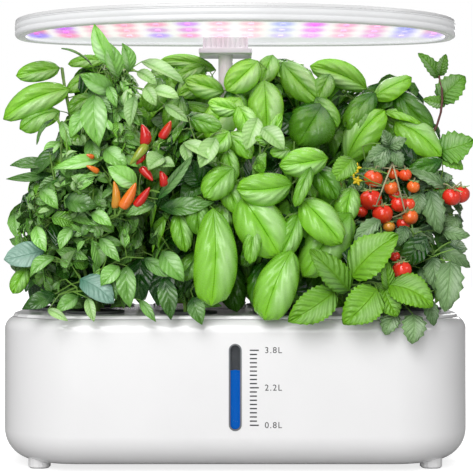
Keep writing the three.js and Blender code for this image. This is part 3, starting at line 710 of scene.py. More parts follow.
def leaf_finish(name, dark, light, rib, count, slant, width, wrinkle, gloss, rib_share,
                painted_sheen_share=0.5):
    """A leaf with veins, painted between its colour in the shade and its colour in the light by
    each leaf's tint, with painted shade towards its root and a painted highlight on one half.
    """
    if known := bpy.data.materials.get(name):
        return known
    material, tree, shader = new_material(name, Specular_IOR_Level=0.45)
    veins = add(tree, "Group", node_tree=leaf_group())
    feed(tree, veins, Vector=add(tree, "UVMap", uv_map="leaf").outputs["UV"])
    for label, value in (("Count", count), ("Slant", slant), ("Width", width)):
        veins.inputs[label].default_value = value
    tint = add(tree, "Attribute", attribute_name="tint").outputs["Fac"]
    place = object_place(tree)
    patch = noise_node(tree, place, 30.0, 1.0)
    fine = noise_node(tree, place, 900.0, 3.0)
    # Painted shade: each leaf darkens towards its root.
    root = mapped(tree, veins.outputs["Along"], 0.0, 0.45, -0.30, 0.05)
    share = math_node(tree, "ADD", math_node(tree, "ADD", tint, root), math_node(
        tree, "MULTIPLY_ADD", patch, 0.5, -0.25))
    # The tint paints each leaf between its colour in the shade and its colour in the light: painted
    # light and shade.
    body = mixed(tree, mapped(tree, share, 0.0, 1.0, smooth=False), dark, light)
    ribs = math_node(
        tree, "MAXIMUM", veins.outputs["Midrib"], product(tree, veins.outputs["Veins"], 0.6))
    ribbed = mixed(tree, product(tree, ribs, rib_share), body, rib)
    shadowed = mixed(tree, mapped(tree, fine, 0.3, 0.7, 0.0, 0.15), ribbed, dark)
    # Painted highlight: the lit colour lifted half way to white, laid on where the highlight mask
    # is strong.
    pale = tuple(channel + (1 - channel) * 0.5 for channel in light)
    sheen = product(tree, veins.outputs["Sheen"], product(tree, tint, painted_sheen_share))
    feed(tree, shader, Base_Color=mixed(tree, sheen, shadowed, pale),
         Roughness=mapped(tree, fine, 0.3, 0.7, gloss, gloss + LEAF_ROUGHNESS_RANGE))
    relief = math_node(
        tree, "SUBTRACT", veins.outputs["Pillow"], product(tree, veins.outputs["Midrib"], 0.8))
    bumped(tree, shader, math_node(tree, "MULTIPLY_ADD", fine, 0.15, relief), wrinkle, 0.9)
    return material


# Each kind's colours in the shade, in the light and on its ribs; the count, slant and width of its
# side veins; the depth of its wrinkles in metres; its roughness; the strength of its ribs and of
# its painted highlight.
LEAF_FINISHES = {
    "basil": dict(name="Basil leaf", dark=(0.016, 0.11, 0.001), light=(0.25, 0.66, 0.018),
                  rib=(0.10, 0.36, 0.01), count=4.0, slant=2.2, width=0.04, wrinkle=0.0006,
                  gloss=0.20, rib_share=0.3, painted_sheen_share=0.5),
    "pepper": dict(name="Pepper leaf", dark=(0.006, 0.055, 0.002), light=(0.32, 0.80, 0.10),
                   rib=(0.55, 0.88, 0.30), count=6.0, slant=1.8, width=0.04, wrinkle=0.0004,
                   gloss=0.18, rib_share=0.22, painted_sheen_share=0.8),
    "sage": dict(name="Sage leaf", dark=(0.03, 0.15, 0.015), light=(0.42, 0.72, 0.22),
                 rib=(0.64, 0.84, 0.44), count=8.0, slant=1.6, width=0.05, wrinkle=0.0003,
                 gloss=0.34, rib_share=0.3, painted_sheen_share=0.6),
    # This kind's pale grey-green lit colour paints a bluish sheen on dark green leaves.
    "silver": dict(name="Silver leaf", dark=(0.08, 0.24, 0.16), light=(0.50, 0.72, 0.60),
                   rib=(0.12, 0.30, 0.20), count=7.0, slant=1.8, width=0.05, wrinkle=0.0006,
                   gloss=0.30, rib_share=0.5),
    "balm": dict(name="Balm leaf", dark=(0.025, 0.12, 0.001), light=(0.19, 0.50, 0.004),
                 rib=(0.36, 0.64, 0.04), count=7.0, slant=2.0, width=0.04, wrinkle=0.0010,
                 gloss=0.36, rib_share=0.28, painted_sheen_share=0.3),
    "tomato": dict(name="Tomato leaf", dark=(0.018, 0.08, 0.016), light=(0.26, 0.47, 0.16),
                   rib=(0.54, 0.72, 0.40), count=6.0, slant=2.2, width=0.05, wrinkle=0.0008,
                   gloss=0.36, rib_share=0.4),
    "mint": dict(name="Mint leaf", dark=(0.02, 0.14, 0.003), light=(0.20, 0.54, 0.02),
                 rib=(0.40, 0.68, 0.12), count=8.0, slant=1.8, width=0.05, wrinkle=0.0008,
                 gloss=0.32, rib_share=0.3),
}
LEAF_FINISHES["spoon"] = LEAF_FINISHES["basil"]


def stem_finish(name, color):
    """Stems, streaked along their length."""
    return moulded(name, color, 0.35, 0.55, scale=700.0, depth=0.0001, tone=0.6,
                   stretch=(1, 1, 0.25))


def fruit_finish(name, unripe, half, ripe):
    """Glossy fruit skin that ripens with the fruit's own tint."""
    if known := bpy.data.materials.get(name):
        return known
    material, tree, shader = new_material(
        name, Coat_Weight=0.5, Coat_Roughness=0.05, Subsurface_Weight=0.08,
        Subsurface_Radius=(1.0, 0.3, 0.1), Subsurface_Scale=0.004)
    tint = add(tree, "Attribute", attribute_name="tint").outputs["Fac"]
    place = object_place(tree)
    patch = math_node(tree, "MULTIPLY_ADD", noise_node(tree, place, 80.0, 3.0), 0.3, -0.15)
    ramp = add(tree, "ValToRGB", {"Fac": math_node(tree, "ADD", tint, patch)})
    stops = ramp.color_ramp.elements
    stops[0].color = (*unripe, 1)
    stops[1].color = (*ripe, 1)
    stops[1].position = 0.9
    stops.new(0.45).color = (*half, 1)
    specks = mapped(tree, noise_node(tree, place, 2200.0, 1.0), 0.66, 0.72, 0.0, 0.15)
    feed(tree, shader, Base_Color=mixed(tree, specks, ramp.outputs["Color"], half),
         Roughness=mapped(tree, patch, -0.1, 0.1, 0.14, 0.24))
    bumped(tree, shader, noise_node(tree, place, 260.0), 0.00015)
    return material


def tomato_skin():
    """Tomato skin from amber through orange to red."""
    return fruit_finish("Tomato skin", (0.62, 0.44, 0.05), (0.95, 0.22, 0.03), (0.88, 0.04, 0.018))


def chili_skin():
    """Chili skin from green through orange to dark red."""
    return fruit_finish("Chili skin", (0.22, 0.42, 0.04), (0.90, 0.24, 0.02), (0.62, 0.012, 0.008))


def petal_yellow():
    """Yellow flower petals."""
    return moulded("Yellow petal", (0.86, 0.66, 0.02), 0.5, 0.65, depth=0.0001, tone=0.85)


def glow_panel():
    """The lamp's white underside with its coloured spots, which the panel's attribute holds."""
    if known := bpy.data.materials.get("Lamp glow"):
        return known
    settings = bpy.context.scene.garden_lamp
    material, tree, shader = new_material("Lamp glow", Specular_IOR_Level=0.2)
    seen = add(tree, "LightPath").outputs["Is Camera Ray"]
    strength = mapped(
        tree, seen, 0.0, 1.0, settings.light_strength, settings.glow_strength, smooth=False)
    glow = add(tree, "Attribute", attribute_name="glow").outputs["Color"]
    grain = noise_node(tree, object_place(tree), 400.0, 3.0)
    shade = mixed(tree, mapped(tree, grain, 0.3, 0.7, 0.0, 0.03), glow, (0.8, 0.8, 0.82))
    feed(tree, shader, Emission_Strength=strength, Emission_Color=shade,
         Base_Color=mixed(tree, 0.7, shade, (0.1, 0.1, 0.1)),
         Roughness=mapped(tree, grain, 0.3, 0.7, 0.3, 0.45))
    return material


# Tank and gauge


def capsule(margin, near, far):
    """An upright capsule with a margin round the gauge's window, between two depths behind the
    tank's face."""
    width, bottom, top = GAUGE_WIDTH + 2 * margin, GAUGE_BOTTOM - margin, GAUGE_TOP + margin
    front, back = TANK_FRONT + near, TANK_FRONT + far
    form = rounded_box(width, top - bottom, 0, back - front, width / 2 - 0.01, 16)
    return moved(upright(form), 0, back, (top + bottom) / 2)


class GARDEN_OT_tank(bpy.types.Operator):
    """Build the smooth tank with its rounded edges and open top"""

    bl_idname = "garden.tank"
    bl_label = "Build Tank"

    def execute(self, context):
        turn = math.acos(1 - TANK_MOUTH_INSET / TANK_TOP_FILLET)
        top = TANK_RIM - TANK_TOP_FILLET * math.sin(turn) + TANK_TOP_FILLET
        form = rounded_box(TANK_WIDTH, TANK_DEPTH, TANK_UNDERSIDE, top, TANK_CORNER, 20)
        bevel(form, level_edges(form, TANK_UNDERSIDE), TANK_FOOT_FILLET, 12)
        bevel(form, level_edges(form, top), TANK_TOP_FILLET, 10)
        self.arch(form, context.scene.garden_tank.arch_height / MM)
        bmesh.ops.bisect_plane(
            form, geom=form.verts[:] + form.edges[:] + form.faces[:],
            plane_co=(0, 0, TANK_RIM), plane_no=(0, 0, 1), clear_outer=True)
        shell = scratch_object(form)
        walls = shell.modifiers.new("Walls", "SOLIDIFY")
        walls.thickness = TANK_WALL
        walls.offset = -1
        walls.use_even_offset = True
        form = baked(shell)
        inlet = middle_of("dc_inlet")
        notch = rounded_box(
            INLET_NOTCH_WIDTH, 40, inlet.z - INLET_NOTCH_DROP, TANK_RIM + 5, 2, 3, inlet.x,
            TANK_DEPTH / 2)
        form = carved(form, capsule(*WINDOW_CUT), notch)
        tank = finish_piece(
            form, "tank", "base", [shell_white()], ["tank_shell"], 30)
        even_shading(tank)
        return {"FINISHED"}

    def arch(self, form, height):
        """Lifts the middle of the underside a little between the feet."""
        for vert in form.verts:
            share = min(1, abs(vert.co.x) / ARCH_REACH)
            low = max(0, 1 - (vert.co.z - TANK_UNDERSIDE) / TANK_FOOT_FILLET)
            vert.co.z += height * low * math.cos(share * math.pi / 2) ** 2


class GARDEN_OT_gauge(bpy.types.Operator):
    """Build the level gauge: window, rim, backing, water column and printed scale"""

    bl_idname = "garden.gauge"
    bl_label = "Build Gauge"

    def execute(self, context):
        glass = capsule(*GLASS)
        bevel(glass, [edge for edge in glass.edges if edge.calc_face_angle(0) > 1.2], 0.4, 3)
        finish_piece(
            glass, "gauge_glass", "base", [gauge_glass()], ["gauge_window"])
        rim = carved(capsule(*RIM), capsule(*RIM_HOLE))
        finish_piece(rim, "gauge_rim", "base", [rim_plastic()])
        finish_piece(
            capsule(*BACKING), "gauge_backing", "base", [dark_plastic()])
        self.water()
        self.print_scale()
        return {"FINISHED"}

    def water(self):
        """The water column, with its surface drawn down a little at the sides."""
        half = GAUGE_WIDTH / 2
        column = upright(rounded_box(
            2 * half - 2 * WATER_GAP, WATER_LEVEL - GAUGE_BOTTOM - 0.4, 0, WATER_DEPTH,
            half - 0.4, 16))
        moved(column, 0, TANK_FRONT + WATER_BEHIND, (WATER_LEVEL + GAUGE_BOTTOM) / 2 + 0.2)
        for vert in column.verts:
            if vert.co.z > WATER_LEVEL - half - 0.5:
                surface = WATER_LEVEL - MENISCUS * (vert.co.x / half) ** 2 - WATER_GAP
                vert.co.z = max(vert.co.z, surface)
        water = finish_piece(column, "gauge_water", "base", [gauge_water()])
        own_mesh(water)

    def print_scale(self):
        """The level marks and their litres, as thin prints on the tank's face."""
        marks = bmesh.new()
        front = TANK_FRONT - PRINT_RISE
        for step in range(SCALE_MARKS):
            right = LONG_MARK_RIGHT if step in LITRES else MARK_RIGHT
            height = SCALE_BOTTOM + step * SCALE_STEP
            mark = rounded_box(right - MARK_LEFT, MARK_HEIGHT, 0, 2 * PRINT_RISE, 0.2, 2)
            middle = (right + MARK_LEFT) / 2
            absorbed(marks, moved(upright(mark), middle, front + 2 * PRINT_RISE, height))
        finish_piece(marks, "scale_marks", "base", [scale_ink()])
        for step, label in LITRES.items():
            height = SCALE_BOTTOM + step * SCALE_STEP
            form = self.lettering(label, LITRES_SIZE)
            moved(form, LITRES_LEFT, front + PRINT_RISE, height - LITRES_DROP)
            name = "scale_litres_" + label.replace(".", "_")
            finish_piece(form, name, "base", [scale_ink()])

    def lettering(self, words, size):
        """Upright letters, as a form that stands in the X-Z plane."""
        curve = bpy.data.curves.new("lettering", "FONT")
        curve.body = words
        curve.size = size
        curve.space_character = LITRES_SPACING
        curve.extrude = PRINT_RISE
        form = baked(placed("lettering", curve))
        bpy.data.curves.remove(curve)
        bmesh.ops.remove_doubles(form, verts=form.verts, dist=MERGED_WITHIN)
        return upright(form)


# Lamp


def lamp_outline(inset, height, sides=144):
    """The lamp's plan: a long oval, rounder in front than behind, as points on a level."""
    points = []
    for side in range(sides):
        angle = FULL_TURN * side / sides
        across, along = math.cos(angle), math.sin(angle)
        power = LAMP_FRONT_POWER if along < 0 else LAMP_BACK_POWER
        depth = (LAMP_FRONT_DEPTH if along < 0 else LAMP_BACK_DEPTH) - inset
        x = (LAMP_HALF_WIDTH - inset) * math.copysign(abs(across) ** (2 / power), across)
        y = depth * math.copysign(abs(along) ** (2 / power), along)
        points.append((x, y, height))
    return points


def lamp_disc(inset, height):
    """A level face in the lamp's outline."""
    form = bmesh.new()
    corners = [form.verts.new(point) for point in lamp_outline(inset, height)]
    form.faces.new(corners)
    return form


def raised(form, height):
    """Turns a level face into a closed plate of that height."""
    made = bmesh.ops.extrude_face_region(form, geom=form.faces[:])
    verts = [item for item in made["geom"] if isinstance(item, bmesh.types.BMVert)]
    bmesh.ops.translate(form, vec=(0, 0, height), verts=verts)
    bmesh.ops.recalc_face_normals(form, faces=form.faces)
    return form


# The light spots from left to right: the colour of the nearer and of the farther half of each.
LED_COLORS = (
    ((0.95, 0.16, 0.30), (0.35, 0.25, 0.95)),
    ((0.62, 0.16, 0.98), (0.95, 0.30, 0.55)),
    ((0.98, 0.48, 0.66), (0.96, 0.58, 0.72)),
    ((0.98, 0.42, 0.58), (0.97, 0.55, 0.66)),
    ((0.97, 0.40, 0.60), (0.55, 0.38, 0.98)),
    ((0.72, 0.30, 0.98), (0.95, 0.40, 0.70)),
    ((0.98, 0.55, 0.70), (0.98, 0.62, 0.76)),
    ((0.98, 0.56, 0.70), (0.99, 0.66, 0.78)),
    ((0.50, 0.52, 0.98), (0.72, 0.62, 0.98)),
    ((0.90, 0.18, 0.95), (0.94, 0.45, 0.98)),
    ((0.97, 0.42, 0.68), (0.97, 0.55, 0.75)),
    ((0.98, 0.48, 0.72), (0.88, 0.45, 0.82)),
    ((0.38, 0.40, 0.98), (0.62, 0.55, 0.98)),
    ((0.95, 0.38, 0.60), (0.60, 0.45, 0.95)),
)
LED_SPREAD = 336
LED_ROWS = 3
LED_FRONT = -70
LED_BACK = -3
# How far a light's spot reaches along X and Y, in glow spreads.
SPOT_REACH = (2.3, 3.4)
LIT_WHITE = (1.0, 1.0, 1.0)
UNLIT_WHITE = (0.70, 0.71, 0.73)


def led_places():
    """Each light's place and colour on the lamp's underside."""
    places = []
    last = len(LED_COLORS) - 1
    for column, (near, far) in enumerate(LED_COLORS):
        x = LED_SPREAD * (column / last - 0.5)
        oval = math.sqrt(1 - (x / LAMP_HALF_WIDTH) ** 2)
        for row in range(LED_ROWS):
            share = row / (LED_ROWS - 1)
            y = (LED_FRONT + (LED_BACK - LED_FRONT) * share) * oval
            color = Vector(near).lerp(Vector(far), share)
            places.append((x, y, color))
    return places


class GARDEN_OT_lamp(bpy.types.Operator):
    """Build the grow lamp: clear ridged rim, glowing light board, lights and white top"""

    bl_idname = "garden.lamp"
    bl_label = "Build Lamp"

    def execute(self, context):
        self.rim()
        self.board()
        self.glow(context.scene.garden_lamp.glow_spread / MM)
        top = raised(lamp_disc(0.4, LAMP_UNDERSIDE + COVER_RISE),
                     LAMP_TOP - LAMP_UNDERSIDE - COVER_RISE)
        bevel(top, level_edges(top, LAMP_TOP), 1.4, 4)
        cover = finish_piece(top, "lamp_top", "lamp", [lamp_white()], ["lamp_cover"])
        even_shading(cover)
        return {"FINISHED"}

    def rim(self):
        """A clear ring with a rounded foot, two fine ridges outside and a lip inside."""
        steps = (
            (1.6, 0.0), (0.5, 0.5), (0.0, 1.7), (0.0, 3.6), (0.7, 4.2), (0.7, 5.0), (0.0, 5.6),
            (0.0, 8.4), (0.6, 9.0), (0.6, 9.8), (0.0, 10.4), (0.2, 11.0), (3.0, 11.0), (3.0, 2.2),
            (5.2, 2.0), (5.6, 1.4), (6.6, 1.4), (7.0, 2.0), (8.8, 2.0), (9.0, 1.6), (9.0, 0.4),
            (8.6, 0.0), (6.0, 0.0), (5.4, 0.6), (4.8, 0.6), (4.2, 0.0),
        )
        form = bmesh.new()
        loops = []
        for inset, rise in steps:
            points = lamp_outline(inset, LAMP_UNDERSIDE + rise)
            ring = [form.verts.new(point) for point in points]
            loops.append([form.edges.new((ring[i - 1], ring[i])) for i in range(len(ring))])
        for near, far in zip(loops, loops[1:] + loops[:1]):
            bmesh.ops.bridge_loops(form, edges=near + far)
        bmesh.ops.recalc_face_normals(form, faces=form.faces)
        finish_piece(
            form, "lamp_rim_clear", "lamp", [clear_lamp()], ["lamp_rim"], 50)

    def board(self):
        """The light board and its square lights."""
        bottom = LAMP_UNDERSIDE + BOARD_RISE
        form = raised(lamp_disc(3.3, bottom), BOARD_THICKNESS)
        lights = bmesh.new()
        leds = led_places()
        for x, y, _ in leds:
            light = rounded_box(
                LIGHT_SIZE, LIGHT_SIZE, bottom - 1.2, bottom - 0.3, 0.8, 3, x, y)
            bevel(light, level_edges(light, bottom - 1.2), 0.35, 2)
            lens = turned(((0, bottom - 1.55), (0.9, bottom - 1.45), (1.5, bottom - 1.2),
                           (0, bottom - 1.19)), x, y, 16)
            absorbed(lights, light, lens)
        tint = lights.verts.layers.float_color.new("glow")
        for vert in lights.verts:
            _, _, color = min(leds, key=lambda led: (
                (led[0] - vert.co.x) ** 2 + (led[1] - vert.co.y) ** 2))
            vert[tint] = (*color, 1)
        finish_piece(form, "light_board", "lamp", [satin_white()], ["led_board"])
        finish_piece(lights, "lamp_lights", "lamp", [glow_panel()])

    def glow(self, spread):
        """A thin white sheet under the board whose attribute holds the coloured spots."""
        form = bmesh.new()
        bmesh.ops.create_grid(form, x_segments=170, y_segments=84, size=1)
        for vert in form.verts:
            x, y = vert.co.xy
            reach_x = LAMP_HALF_WIDTH - GLOW_INSET
            depth = (LAMP_FRONT_DEPTH if y < 0 else LAMP_BACK_DEPTH) - GLOW_INSET
            power = LAMP_FRONT_POWER if y < 0 else LAMP_BACK_POWER
            limit = (1 - min(1, abs(y)) ** power) ** (1 / power)
            vert.co = (x * reach_x * max(limit, 0.35), y * depth, LAMP_UNDERSIDE + GLOW_RISE)
        tint = form.verts.layers.float_color.new("glow")
        leds = led_places()
        wide, deep = (reach * spread for reach in SPOT_REACH)
        for vert in form.verts:
            unlit = min(1, max(0, (vert.co.y - LED_BACK - 6) / 8))
            color = Vector(LIT_WHITE).lerp(Vector(UNLIT_WHITE), unlit)
            for x, y, led in leds:
                away = ((vert.co.x - x) / wide) ** 2 + ((vert.co.y - y) / deep) ** 2
                if away < 4:
                    color = color.lerp(led, math.exp(-away * away))
            vert[tint] = (*color, 1)
        bmesh.ops.solidify(form, geom=form.faces[:], thickness=-GLOW_THICKNESS)
        bmesh.ops.recalc_face_normals(form, faces=form.faces)
        finish_piece(form, "lamp_glow", "lamp", [glow_panel()])


class GARDEN_OT_pole(bpy.types.Operator):
    """Build the smooth telescopic pole, its socket, collar and the lamp's connector"""

    bl_idname = "garden.pole"
    bl_label = "Build Pole"

    def execute(self, context):
        outer = ((8.25, 124.3), (8.25, 261.4), (7.7, 262), (6.55, 262), (6.55, 124.3))
        self.tube(outer, "pole_tube_outer", "deck", "pole_outer")
        inner = ((6.25, 134), (6.25, 355.2), (5.9, 355.5), (4.75, 355.5), (4.75, 134))
        self.tube(inner, "pole_tube_inner", "lamp", "pole_inner")
        ridges = [(10.5 - (0.35 if step % 2 else 0), 256 + step * 1.4) for step in range(11)]
        collar = turned(((8.55, 254), (10.1, 254), (10.5, 254.6), *ridges, (10.0, 272), (6.55, 272),
                         (6.55, 262.3), (8.55, 262.3)), POLE_X, POLE_Y, is_ring=True)
        finish_piece(collar, "collar", "deck", [satin_white()], ["pole_collar"])
        self.socket()
        self.connector()
        return {"FINISHED"}

    def tube(self, profile, name, body, node):
        """A tube of the pole from the [radius, height] points of its wall."""
        form = turned(profile, POLE_X, POLE_Y, is_ring=True)
        finish_piece(form, name, body, [pole_finish()], [node])

    def socket(self):
        """The flanged foot of the pole with its two screw holes."""
        profile = (
            (8.55, 124.3), (17.4, 124.3), (18, 124.9), (18, 127), (17.2, 127.8), (13.2, 127.8),
            (12.1, 128.6), (11.8, 130), (11.8, 138.2), (11, 139.3), (8.55, 139.3),
        )
        form = turned(profile, POLE_X, POLE_Y, is_ring=True)
        hole = ((0, 120), (1.8, 120), (1.8, 132), (0, 132))
        holes = [turned(hole, POLE_X + side * SCREW_REACH, POLE_Y, 24) for side in (-1, 1)]
        form = carved(form, *holes)
        finish_piece(form, "socket", "deck", [satin_white()], ["pole_socket"])

    def connector(self):
        """A clear block with upright flutes and a foot flange."""
        bottom, top = CONNECTOR_BOTTOM, CONNECTOR_TOP
        middle = CONNECTOR_MIDDLE
        body = rounded_box(39, 37, bottom + FLANGE_HEIGHT - 0.1, top, 2.5, 4, POLE_X, middle)
        flange = rounded_box(46, 41, bottom, bottom + FLANGE_HEIGHT, 3, 4, POLE_X, middle)
        bevel(flange, level_edges(flange, bottom), 0.7, 2)
        flute = ((0, bottom + 5), (FLUTE_RADIUS, bottom + 5), (FLUTE_RADIUS, top + 4), (0, top + 4))
        flutes = [turned(flute, POLE_X + FLUTE_STEP * step, middle - 18.6, 12)
                  for step in range(-4, 5)]
        bore = ((0, bottom - 4), (6.55, bottom - 4), (6.55, 355.8), (0, 355.8))
        form = carved(body, *flutes, turned(bore, POLE_X, POLE_Y))
        absorbed(form, carved(flange, turned(bore, POLE_X, POLE_Y)))
        finish_piece(form, "connector_block", "lamp", [clear_block()], ["lamp_connector"])


# Pods


class GARDEN_OT_pods(bpy.types.Operator):
    """Build the net baskets and growing sponges"""

    bl_idname = "garden.pods"
    bl_label = "Build Pods"

    def execute(self, context):
        for pod, (x, y) in POD_PLACES.items():
            body = pod_body(pod)
            basket = moved(self.basket(), x, y)
            finish_piece(basket, "net_pot_" + pod, body, [pot_plastic()], ["basket_" + pod])
            sponge = moved(self.sponge(pod), x, y)
            finish_piece(
                sponge, "foam_" + pod, body, [sponge_foam()], ["sponge_" + pod], 60)
        return {"FINISHED"}

    def basket(self):
        """A collar, a slatted slanting wall and a floor ring."""
        form = turned(((18.2, 122), (18.2, 126.1), (23.2, 126.1), (23.5, 125.7), (23.5, 124.5),
                       (19.9, 124.3), (19.7, 112)), is_ring=True, steps=56)
        floor = turned(((5, 78), (14.6, 78), (15.1, 79), (15.9, 86), (14.6, 86), (13.8, 79.6),
                        (5, 79.6)), is_ring=True, steps=40)
        hoop = turned(((16.4, 98), (17.7, 98), (17.9, 100), (16.5, 100)), is_ring=True, steps=40)
        absorbed(form, floor, hoop)
        for step in range(BASKET_SLATS):
            angle = FULL_TURN * (step + 0.5) / BASKET_SLATS
            way = Vector((math.cos(angle), math.sin(angle), 0))
            low = way * 14.7 + Vector((0, 0, 84))
            high = way * 18.9 + Vector((0, 0, 118))
            rod_between(form, low, high, 1.2, 1.2)
        return form

    def sponge(self, pod):
        """Foam with a rough crown and a slit for the seedling."""
        form = turned(((0, 96), (14.9, 96), (15.7, 104), (16.6, 113), (17.2, 121.2), (16.6, 123.0),
                       (10, 123.4), (3, 123.4), (1.6, 120), (0, 119.5)), steps=32)
        shift = Vector((*POD_PLACES[pod], 0))
        for vert in form.verts:
            rough = noise.noise((vert.co + shift) * 0.35)
            out = Vector((vert.co.x, vert.co.y, 0))
            if out.length > 1:
                vert.co += out.normalized() * (0.35 * rough - 0.2)
        return form


# Plants


# Each kind's outline powers towards root and tip, V fold, pillow height, droop of the edges and
# teeth, and the squares across and along of a shown leaf (fine) and of a filling leaf (plain).
LEAF_KINDS = {
    "basil": dict(root=0.58, tip=0.60, fold=0.08, puff=0.12, cup=0.22, teeth=0.0, fine=(8, 12),
                  plain=(4, 6)),
    "spoon": dict(root=0.56, tip=0.40, fold=0.06, puff=0.10, cup=0.26, teeth=0.0, fine=(8, 14),
                  plain=(4, 6)),
    "pepper": dict(root=0.80, tip=1.00, fold=0.26, puff=0.04, cup=0.10, teeth=0.0, fine=(4, 8),
                   plain=(2, 4)),
    "sage": dict(root=0.70, tip=0.85, fold=0.30, puff=0.03, cup=0.05, teeth=0.0, fine=(4, 8),
                 plain=(2, 4)),
    "silver": dict(root=0.60, tip=0.75, fold=0.16, puff=0.04, cup=0.10, teeth=0.0, fine=(6, 8),
                   plain=(2, 4)),
    "balm": dict(root=0.50, tip=0.75, fold=0.16, puff=0.05, cup=0.10, teeth=0.05, fine=(6, 22),
                 plain=(2, 6)),
    "tomato": dict(root=0.50, tip=0.75, fold=0.14, puff=0.08, cup=0.14, teeth=0.12, fine=(4, 10),
                   plain=(2, 6)),
    "mint": dict(root=0.50, tip=0.75, fold=0.14, puff=0.06, cup=0.08, teeth=0.09, fine=(4, 12),
                 plain=(2, 6)),
    "sepal": dict(root=0.60, tip=1.20, fold=0.20, puff=0.0, cup=0.0, teeth=0.0, fine=(2, 3),
                  plain=(2, 3)),
}
LEAF_SLOTS = tuple(LEAF_KINDS)
STEM_SLOT = len(LEAF_SLOTS)
PURPLE_SLOT = STEM_SLOT + 1
TRUSS_SLOT = STEM_SLOT + 2
TIP_WIDTH = 0.03
STALK_RADIUS = 0.5
STEM_RADIUS = 1.5

# The share of a turn from one filling leaf to the next.
GOLDEN = 0.618034
# How deep the layers of filling leaves lie, and how deep a leaf of the table may lie, in a plant.
FILL_INSETS = (0, 2, 5, 9, 13, 18)
DEEPEST_SHOWN = 8
# How far the filling leaves stand outside a plant's solid, and the share of the way from its middle
# to its outside that its inner leaves reach, for the plants at the back and for the others.
BACK_SPREAD = 9
SPREAD = 3
BACK_INNER_REACH = 1.15
INNER_REACH = 0.75
RAY_START = 400
DECK_CLEARANCE = 2
# Ranges of the random draws: the edge ripple in leaf widths, the swing of a leaf's middle in
# lengths, a filling leaf's size, how far it stands off and how much it arches.
RIPPLES = (0.03, 0.09)
SWINGS = (-0.07, 0.07)
SIZES = (0.7, 1.15)
STAND_OFFS = (-0.1, 0.35)
ARCHES = (0.04, 0.16)
TURNS = (-0.5, 0.5)
# A filling leaf that finds no room is tried again this share of a turn further on.
RETRIES = (0, 0.17, 0.61)


class LeafShape:
    """A flat closed sheet for one kind of leaf, and where its points go on a real leaf."""

    def __init__(self, name, grid):
        values = LEAF_KINDS[name]
        wide, long = values[grid]
        form = bmesh.new()
        bmesh.ops.create_grid(form, x_segments=wide, y_segments=long, size=1)
        bmesh.ops.solidify(form, geom=form.faces[:], thickness=0.1)
        bmesh.ops.recalc_face_normals(form, faces=form.faces)
        layer = form.loops.layers.uv.new("leaf")
        form.verts.layers.float.new("tint")
        for face in form.faces:
            face.smooth = True
            face.material_index = LEAF_SLOTS.index(name)
            for loop in face.loops:
                x, y, _ = loop.vert.co
                loop[layer].uv = ((x + 1) / 2, (y + 1) / 2)
        top = max(vert.co.z for vert in form.verts)
        self.points = []
        for vert in form.verts:
            place = self.place_of(values, vert.co.x, (vert.co.y + 1) / 2, long)
            self.points.append((*place, abs(vert.co.z - top) < 0.01))
        self.mesh = mesh_of(form, "leaf_" + name)

    def place_of(self, values, across, along, long):
        """Where a point of the sheet goes: across, along, lift and how far out towards the tip."""
        root, tip = values["root"], values["tip"]
        peak = root / (root + tip)
        widest = peak ** root * (1 - peak) ** tip
        outline = max(along ** root * (1 - along) ** tip / widest, TIP_WIDTH)
        row = round(along * long)
        if abs(across) > 0.99 and 0 < row < long:
            outline *= 1 + values["teeth"] * (1 if row % 2 else -1)
        pillow = math.sin(math.pi * abs(across)) * math.sin(math.pi * along)
        lift = (values["fold"] * abs(across) * outline + values["puff"] * pillow
                - values["cup"] * across ** 2 * outline)
        return across * outline, along, lift, abs(across) * along


